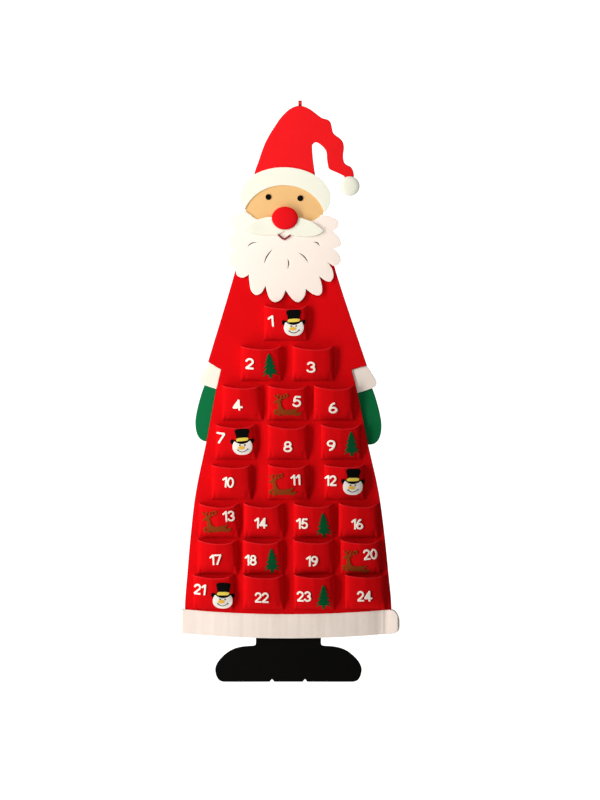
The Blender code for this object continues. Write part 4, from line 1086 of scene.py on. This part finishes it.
def stroke_distance(point, stroke):
    """Distance from a point to a stroke's middle line."""
    nearest = math.inf
    for start, end in zip(stroke, stroke[1:]):
        a, along = Vector(start), Vector(end) - Vector(start)
        share = (Vector(point) - a).dot(along) / max(along.length_squared, TINY)
        nearest = min(nearest, (a + min(1, max(0, share)) * along - Vector(point)).length)
    return nearest


def stroke_rim(stroke, radius, end_power):
    """Closed line round a stroke. Its two ends are round at power 1 and squarer below."""
    sides = []
    for line in (stroke, stroke[::-1]):
        for i, point in enumerate(line):
            before = Vector(point) - Vector(line[max(0, i - 1)])
            after = Vector(line[min(len(line) - 1, i + 1)]) - Vector(point)
            for along in (before, after):
                if along.length > TINY:
                    side = Vector((-along.y, along.x)).normalized()
                    sides.append(tuple(Vector(point) + side * radius))
        last = Vector(line[-1])
        along = (last - Vector(line[-2])).normalized()
        side = Vector((-along.y, along.x))
        for step in range(1, STROKE_END_STEPS):
            angle = math.pi * step / STROKE_END_STEPS
            across = math.copysign(abs(math.cos(angle)) ** end_power, math.cos(angle))
            out = math.sin(angle) ** end_power
            sides.append(tuple(last + (side * across + along * out) * radius))
    return sides


def evened(loop, step):
    """A closed loop with its points set evenly along it."""
    points = np.array([*loop, loop[0]])
    lengths = lengths_along(points)
    count = max(LEAST_POINTS, round(lengths[-1] / step))
    places = np.linspace(0, lengths[-1], count, endpoint=False)
    x = np.interp(places, lengths, points[:, 0])
    z = np.interp(places, lengths, points[:, 1])
    return list(zip(x.tolist(), z.tolist()))


def joined_strokes(strokes, end_power=1.0):
    """Outlines of strokes taken together, the felt on their left. A stroke is its points and radius."""
    points, edges = [], []
    for stroke, radius in strokes:
        rim = stroke_rim(stroke, radius, end_power)
        edges += closed_edges(len(points), len(rim))
        points += rim
    # The corners of a squarer end lie further out than the stroke's radius
    reach = 2 ** ((1 - end_power) / 2)

    def is_felt(middle):
        return any(stroke_distance(middle, stroke) < radius * reach for stroke, radius in strokes)

    corners, faces = triangles_where(points, edges, is_felt)
    used = set()
    for face in faces:
        used |= set(zip(face, (*face[1:], face[0])))
    following = {a: b for a, b in used if (b, a) not in used}
    loops = [[corners[i] for i in loop] for loop in chained(following)]
    return [evened(loop, DIGIT_STEP) for loop in loops if len(loop) > SLIVER_POINTS]


def digit_loops(digit, height, widen, width):
    """Outline of a digit, standing on z = 0. Its strokes have this width."""
    radius = width / 2
    run = height - width
    strokes = [[(x * run * widen, radius + z * run) for x, z in line] for line in DIGIT_SHARES[digit]]
    return joined_strokes([(stroke, radius) for stroke in strokes], DIGIT_END_POWER)


def moved(loops, x, z, tilt_deg=0.0):
    """Loops turned counter-clockwise and moved."""
    cosine, sine = math.cos(math.radians(tilt_deg)), math.sin(math.radians(tilt_deg))
    return [[(x + a * cosine - b * sine, z + a * sine + b * cosine) for a, b in loop] for loop in loops]


def laid_on(pocket, name, loops, material, slot, under=0.0, thickness=ORNAMENT_FELT):
    """A small piece of felt laid on a pocket, or on what lies under it there."""

    def back(x, z):
        return pocket.front(x, z) - under + OVERLAP_SINK

    obj = plate(name, loops, back, thickness, ORNAMENT_GRID)
    return dressed(obj, material, "calendar", slot)


def number_felt(number, pocket):
    """The raised number of a pocket, one piece a digit."""
    text = str(number)
    pixel_x, pixel_y, tilt = NUMBER_PLACES[number]
    x, z = on_plane(pixel_x, pixel_y)
    z += (POCKET_DEPTH + POCKET_FELT) * math.tan(math.radians(VIEW_ABOVE_DEG))
    height, widen, width = DIGIT_SIZES[len(text)]
    outlines = [digit_loops(digit, height, widen, width) for digit in text]
    spans = []
    for loops in outlines:
        across = [point[0] for loop in loops for point in loop]
        spans.append((min(across), max(across)))
    left = -sum(high - low for low, high in spans) / 2
    for place, (loops, (low, high)) in enumerate(zip(outlines, spans), start=1):
        set_out = moved(moved(loops, left - low, -height / 2), x, z, tilt)
        under = (place - 1) * DIGIT_SINK
        name = f"number_{number:02d}_{place}"
        laid_on(pocket, name, set_out, NUMBER_FELT, "white_felt", under, DIGIT_THICKNESS)
        left += high - low


def circle(x, z, radius):
    angles = [2 * math.pi * i / DOT_POINTS for i in range(DOT_POINTS)]
    return [(x + radius * math.cos(a), z + radius * math.sin(a)) for a in angles]


def yarn(name, points, radius, material, sides=8):
    """A cord through points, its ends round."""
    points = [Vector(point) for point in points]
    rings = []
    for i, point in enumerate(points):
        along = (points[min(i + 1, len(points) - 1)] - points[max(i - 1, 0)]).normalized()
        side = along.cross(Vector((0, 1, 0))).normalized()
        rings.append((point, side, side.cross(along), 1.0))
    first, last = rings[0], rings[-1]
    start = (points[0] - points[1]).normalized()
    end = (points[-1] - points[-2]).normalized()
    for lift in YARN_END_SHARES:
        shrink = math.sqrt(1 - lift**2)
        rings.insert(0, (first[0] + start * radius * lift, first[1], first[2], shrink))
        rings.append((last[0] + end * radius * lift, last[1], last[2], shrink))
    vertices = []
    for middle, side, up, share in rings:
        for step in range(sides):
            angle = 2 * math.pi * step / sides
            vertices.append(middle + (side * math.cos(angle) + up * math.sin(angle)) * radius * share)
    obj = mesh_object(name, vertices, tube_faces(len(rings), sides))
    return dressed(obj, material, "calendar")


def node_middle(node):
    low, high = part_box(node)
    return (low.x + high.x) / 2, (low.z + high.z) / 2, high.x - low.x, high.z - low.z


def snowman(number, pocket):
    """Top hat with a yellow band, and a face with a carrot nose, eyes and a sewn smile."""
    node = f"snowman_{number:02d}"
    x, z, *_ = node_middle(node)

    def placed(loop):
        shape = [(a * SNOWMAN_HEIGHT, (b - 0.5) * SNOWMAN_HEIGHT) for a, b in loop]
        return moved([shape], x, z, SNOWMAN_TILTS[number])

    def mirrored(half):
        return [*half, *((-a, b) for a, b in half[-2:0:-1])]

    def laid(name, loop, material, slot, under, thickness):
        return laid_on(pocket, f"{node}_{name}", placed(loop), material, slot, under, thickness)

    black = FINISHES["black_felt"]
    face_loop = smooth_curve(mirrored(SNOWMAN_FACE_SHARES), SNOWMAN_STEPS, closed=True)
    hat_loop = smooth_curve(mirrored(SNOWMAN_HAT_SHARES)[::-1], SNOWMAN_HAT_STEPS, closed=True)
    face = laid("face", face_loop, FACE_FELT, "white_felt", 0.0, SNOWMAN_FACE_FELT)
    hat = laid("hat", hat_loop, black, "black_felt", 0.0, ORNAMENT_FELT)
    trim = SNOWMAN_TRIM_FELT
    for name, shares, material, under in (
        ("band", SNOWMAN_BAND_SHARES, YELLOW_FELT, ORNAMENT_FELT),
        ("nose", SNOWMAN_NOSE_SHARES, CARROT_FELT, SNOWMAN_FACE_FELT),
    ):
        laid(name, smooth_curve(shares, SNOWMAN_STEPS, closed=True), material, None, under, trim)
    dots = [*SNOWMAN_EYES_SHARES, SNOWMAN_SMILE_SHARES[0], SNOWMAN_SMILE_SHARES[-1]]
    sizes = [SNOWMAN_EYE_SHARE] * 2 + [SNOWMAN_DIMPLE_SHARE] * 2
    for name, (a, b), size in zip(("eye_1", "eye_2", "dimple_1", "dimple_2"), dots, sizes):
        laid(name, circle(a, b, size), DARK_THREAD, None, SNOWMAN_FACE_FELT, trim)
    line = placed(smooth_curve(SNOWMAN_SMILE_SHARES, SMILE_STEPS))[0]
    path = [(a, pocket.front(a, b) - SNOWMAN_FACE_FELT, b) for a, b in line]
    yarn(f"{node}_smile", path, SNOWMAN_YARN, DARK_THREAD)
    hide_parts(node)
    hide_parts(node)
    declare_sheet(face, placed(face_loop))
    declare_sheet(hat, placed(hat_loop))


def cut_ornament(kind, number, pocket):
    """A tree or a reindeer laid on its pocket."""
    node = f"{kind}_{number:02d}"
    x, z, *_ = node_middle(node)
    if kind == "tree":
        half = [(a * TREE_HEIGHT, (b - 0.5) * TREE_HEIGHT) for a, b in TREE_SHARES]
        loops = [evened([*half[::-1], *((-a, b) for a, b in half[1:])], ORNAMENT_STEP)]
    else:
        strokes = []
        for radius, line in REINDEER_SHARES:
            stroke = [(a * REINDEER_LENGTH, b * REINDEER_LENGTH) for a, b in line]
            strokes.append((stroke, radius * REINDEER_LENGTH))
        loops = joined_strokes(strokes)
    loops = moved(loops, x, z, ORNAMENT_TILTS[number])
    material = FIR_FELT if kind == "tree" else FINISHES[SLOTS[node]]
    obj = laid_on(pocket, f"{node}_felt", loops, material, SLOTS[node])
    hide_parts(node)
    declare_sheet(obj, loops)


def strap(name, path, spans, thickness, place, rows):
    """A band of cloth along a path, its long edges rounded. spans give its edges at each point."""
    radius = thickness / 2
    section = [(row / rows, 1.0, 0.0) for row in range(rows + 1)]
    arcs = [(math.cos(a), math.sin(a)) for a in (math.pi / 4, math.pi / 2, 3 * math.pi / 4)]
    section += [(1.0, side, lift) for side, lift in arcs]
    section += [(row / rows, -1.0, 0.0) for row in reversed(range(rows + 1))]
    section += [(0.0, -side, -lift) for side, lift in arcs]
    points, marks = [], []
    for i, ((a, b), (low, high)) in enumerate(zip(path, spans)):
        before, after = path[max(0, i - 1)], path[min(len(path) - 1, i + 1)]
        along = Vector((after[0] - before[0], after[1] - before[1])).normalized()
        for share, side, lift in section:
            across = low + radius + share * (high - low - thickness) + lift * radius
            points.append(place(a + along.y * side * radius, b - along.x * side * radius, across))
            marks.append(abs(lift))
    return mesh_object(name, points, tube_faces(len(path), len(section)), marks)


def hem():
    """The band along the bottom, its ends folded round to the back, the right one swelling forward."""
    low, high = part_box("hem")
    robe_low, robe_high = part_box("robe")
    middle = (robe_low.x + robe_high.x) / 2
    half = (robe_high.x - robe_low.x) / 2
    left_reach = middle - half - low.x
    right_reach = high.x - middle - half + HEM_RIGHT_SPARE
    ends = []
    for side, reach, swell in ((-1, left_reach, 0), (1, right_reach, HEM_RIGHT_SWELL)):
        bend = half + reach - HEM_FELT / 2 - HEM_FOLD_RADIUS
        fold = [(side * (half - inset), -HEM_FRONT_Y) for inset in (HEM_FLAP, HEM_FLAP_EASE)]
        for across, up in HEM_FOLD_SHARES:
            depth = HEM_FOLD_RADIUS + (swell if up < 0 else 0)
            fold.append((side * (bend + across * HEM_FOLD_RADIUS), up * depth))
        fold.append((side * (bend - HEM_SWELL_LENGTH), HEM_FRONT_Y))
        ends.append(smooth_curve(fold, HEM_FOLD_STEPS))
    left, right = ends
    start, end = left[-1][0], right[-1][0]
    steps = round((end - start) / HEM_STEP)
    run = [(start + (end - start) * step / steps, HEM_FRONT_Y) for step in range(1, steps)]
    path = []
    for x, y in left + run + right[::-1]:
        if y < 0:
            for place, width, forward in HEM_CREASES:
                y -= forward * math.exp(-(((x - place) / width) ** 2))
            for wave, size, turn in HEM_RIPPLES:
                y += size * math.sin(wave * x + turn)
        path.append((x, y))
    last = max(x for x, _ in path)
    spans = []
    for x, _ in path:
        base = low.z + HEM_SAG * min(1, abs(x) / half) ** 2
        share = max(0.0, 1 - (last - x) / HEM_ROUND_LENGTH)
        turn = 1 - math.sqrt(1 - share * share)
        spans.append((base + HEM_ROUND_BASE * turn, base + HEM_HEIGHT - HEM_ROUND_TOP * turn))

    def place(a, b, c):
        return middle + a, b, c

    obj = strap("hem_felt", path, spans, HEM_FELT, place, HEM_ROWS)
    dressed(obj, FINISHES["cream_felt"], "calendar", "cream_felt")
    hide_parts("hem")
    length = sum(math.dist(p, q) for p, q in zip(path, path[1:]))
    area = sum(math.dist(p, q) * (b - a) for p, q, (a, b) in zip(path, path[1:], spans))


def hanging_loop():
    """The ribbon round the nail, its two ends sewn flat behind the top of the hat."""
    low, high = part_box("hanging_loop")
    front_y = layer_of("hat")[0] + RIBBON_GAP + RIBBON_THICKNESS / 2
    back_y = front_y + RIBBON_THICKNESS + RIBBON_GAP
    middle_y = (front_y + back_y) / 2
    hat_top = RIBBON_THICKNESS - LOOP_HEIGHT
    neck_z = hat_top + LOOP_NECK_SHARE * LOOP_HEIGHT
    radius = LOOP_BORE + RIBBON_THICKNESS / 2
    tail = [hat_top - RIBBON_TAIL * (1 - step / TAIL_STEPS) for step in range(TAIL_STEPS)]
    path = [(front_y, z) for z in tail] + [(front_y, neck_z)]
    for step in range(LOOP_SEGMENTS + 1):
        angle = math.radians(LOOP_MOUTH_DEG + (360 - 2 * LOOP_MOUTH_DEG) * step / LOOP_SEGMENTS)
        path.append((middle_y - radius * math.sin(angle), -LOOP_BORE - radius * math.cos(angle)))
    path += [(back_y, neck_z)] + [(back_y, z) for z in tail[::-1]]
    half = (high.x - low.x) / 2
    middle = (high.x + low.x) / 2
    spans = [(-half, half)] * len(path)

    def place(a, b, c):
        return middle + c, a, b

    obj = strap("loop_ribbon", path, spans, RIBBON_THICKNESS, place, RIBBON_ROWS)
    dressed(obj, FINISHES["red_ribbon"], None, "red_ribbon")
    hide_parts("hanging_loop")
    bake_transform(obj)


def mouth():
    """The small smile, a dark red cord."""
    x, z, width, height = node_middle("mouth")
    back_y, thickness = layer_of("mouth")
    across, up = width * MOUTH_WIDEN - MOUTH_CORD, height - MOUTH_CORD
    corners = [(a * across, (b + 0.5) * up) for a, b in MOUTH_SHARES]
    line = moved([smooth_curve(corners, MOUTH_STEPS)], x, z, -MOUTH_TILT_DEG)[0]
    low = min(b for _, b in line)
    middle_y = back_y - thickness / 2
    front_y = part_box("moustache")[0].y
    path = []
    for a, b in line:
        y = middle_y + (front_y - middle_y) * smooth((b - low) / (MOUTH_ENDS_SHARE * up))
        path.append((a, y + sway(a, b), b))
    obj = yarn("mouth_cord", path, MOUTH_CORD / 2, FINISHES["dark_red_cord"], sides=12)
    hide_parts("mouth")


def pockets():
    """The 24 pockets, their seams, their numbers and what is laid on them."""
    ornaments = {
        "snowman": (1, 7, 12, 21),
        "tree": (2, 9, 15, 18, 23),
        "reindeer": (5, 11, 13, 20),
    }
    kinds = {number: kind for kind, numbers in ornaments.items() for number in numbers}
    for number in range(1, 25):
        pocket = Pocket(number)
        pocket_felt(pocket)
        stitches(f"{pocket.node}_seam", pocket.seam(), RED_THREAD)
        number_felt(number, pocket)
        kind = kinds.get(number)
        if kind == "snowman":
            snowman(number, pocket)
        elif kind:
            cut_ornament(kind, number, pocket)


def domed(node):
    """A stuffed pad over a CAD pad's box: full in the middle, turned in round its edge."""
    low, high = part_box(node)
    middle = (low + high) / 2
    half_x, half_z = (high.x - low.x) / 2, (high.z - low.z) / 2
    thick = high.y - low.y
    points = []
    for ring in range(PAD_RINGS + 1):
        radius = math.sin(math.pi / 2 * ring / PAD_RINGS)
        rise = (1 - radius**PAD_POWER) ** 0.5
        for step in range(PAD_SEGMENTS):
            angle = 2 * math.pi * step / PAD_SEGMENTS
            x = middle.x + half_x * radius * math.cos(angle)
            z = middle.z + half_z * radius * math.sin(angle)
            out = thick * (PAD_RIM_SHARE + (1 - PAD_RIM_SHARE) * rise)
            points.append((x, high.y - out + sway(x, z), z))
    rim = len(points)
    points += [(x, high.y + sway(x, z), z) for x, _, z in points[rim - PAD_SEGMENTS :]]
    faces = tube_faces(PAD_RINGS + 2, PAD_SEGMENTS, capped=False)
    faces.append(tuple(range(rim, len(points))))
    marks = [0.0] * rim + [1.0] * PAD_SEGMENTS
    obj = mesh_object(f"{node}_pad", points, faces, marks)
    dressed(obj, FINISHES[SLOTS[node]], "calendar", SLOTS[node])
    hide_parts(node)
    return obj


def studio():
    """Camera, lights, pale surroundings and floor."""
    scene = bpy.context.scene
    scene.view_settings.view_transform = "Standard"
    scene.view_settings.look = "None"
    x, z = on_plane(*VIEW_MIDDLE)
    aim = Vector((x, 0, z))
    above = math.radians(VIEW_ABOVE_DEG)
    data = bpy.data.cameras.new("camera")
    camera = bpy.data.objects.new("camera", data)
    scene.collection.objects.link(camera)
    camera.location = aim + VIEW_DISTANCE * Vector((0, -math.cos(above), math.sin(above)))
    camera.rotation_euler = (math.pi / 2 - above, 0, 0)
    data.sensor_width = SENSOR_MM
    data.lens = SENSOR_MM * VIEW_DISTANCE / (PHOTO_SIZE[1] * PHOTO_METRE * VIEW_ZOOM)
    data.clip_end = 100
    scene.camera = camera
    for name, (place, aim_at, size, spread, watts) in LIGHTS.items():
        light = bpy.data.lights.new(name, "AREA")
        light.shape = "RECTANGLE"
        light.size, light.size_y = size
        light.spread = math.radians(spread)
        light.energy = watts
        obj = bpy.data.objects.new(name, light)
        scene.collection.objects.link(obj)
        obj.location = place
        obj.visible_camera = False
        obj.rotation_euler = (Vector(aim_at) - Vector(place)).to_track_quat("-Z", "Y").to_euler()
    world = bpy.data.worlds.new("surroundings")
    world.use_nodes = True
    scene.world = world
    tree = world.node_tree
    start = Wire(tree)
    seen = start.node("ShaderNodeLightPath")
    strength = SKY_LIGHT + seen * (SKY_SEEN - SKY_LIGHT)
    background = tree.nodes["Background"]
    background.inputs["Color"].default_value = (1, 1, 1, 1)
    tree.links.new(strength.socket, background.inputs["Strength"])
    work = bmesh.new()
    bmesh.ops.create_circle(work, cap_ends=True, radius=FLOOR_RADIUS, segments=96)
    mesh = bpy.data.meshes.new("floor")
    work.to_mesh(mesh)
    work.free()
    floor = bpy.data.objects.new("floor", mesh)
    floor.location = (0, 0, FLOOR_Z)
    scene.collection.objects.link(floor)
    mesh.materials.append(floor_finish())


studio()
flat_felts()
for node in ("nose", "pompom", "eye_left", "eye_right"):
    pad = domed(node)
mouth()
hem()
hanging_loop()
pockets()
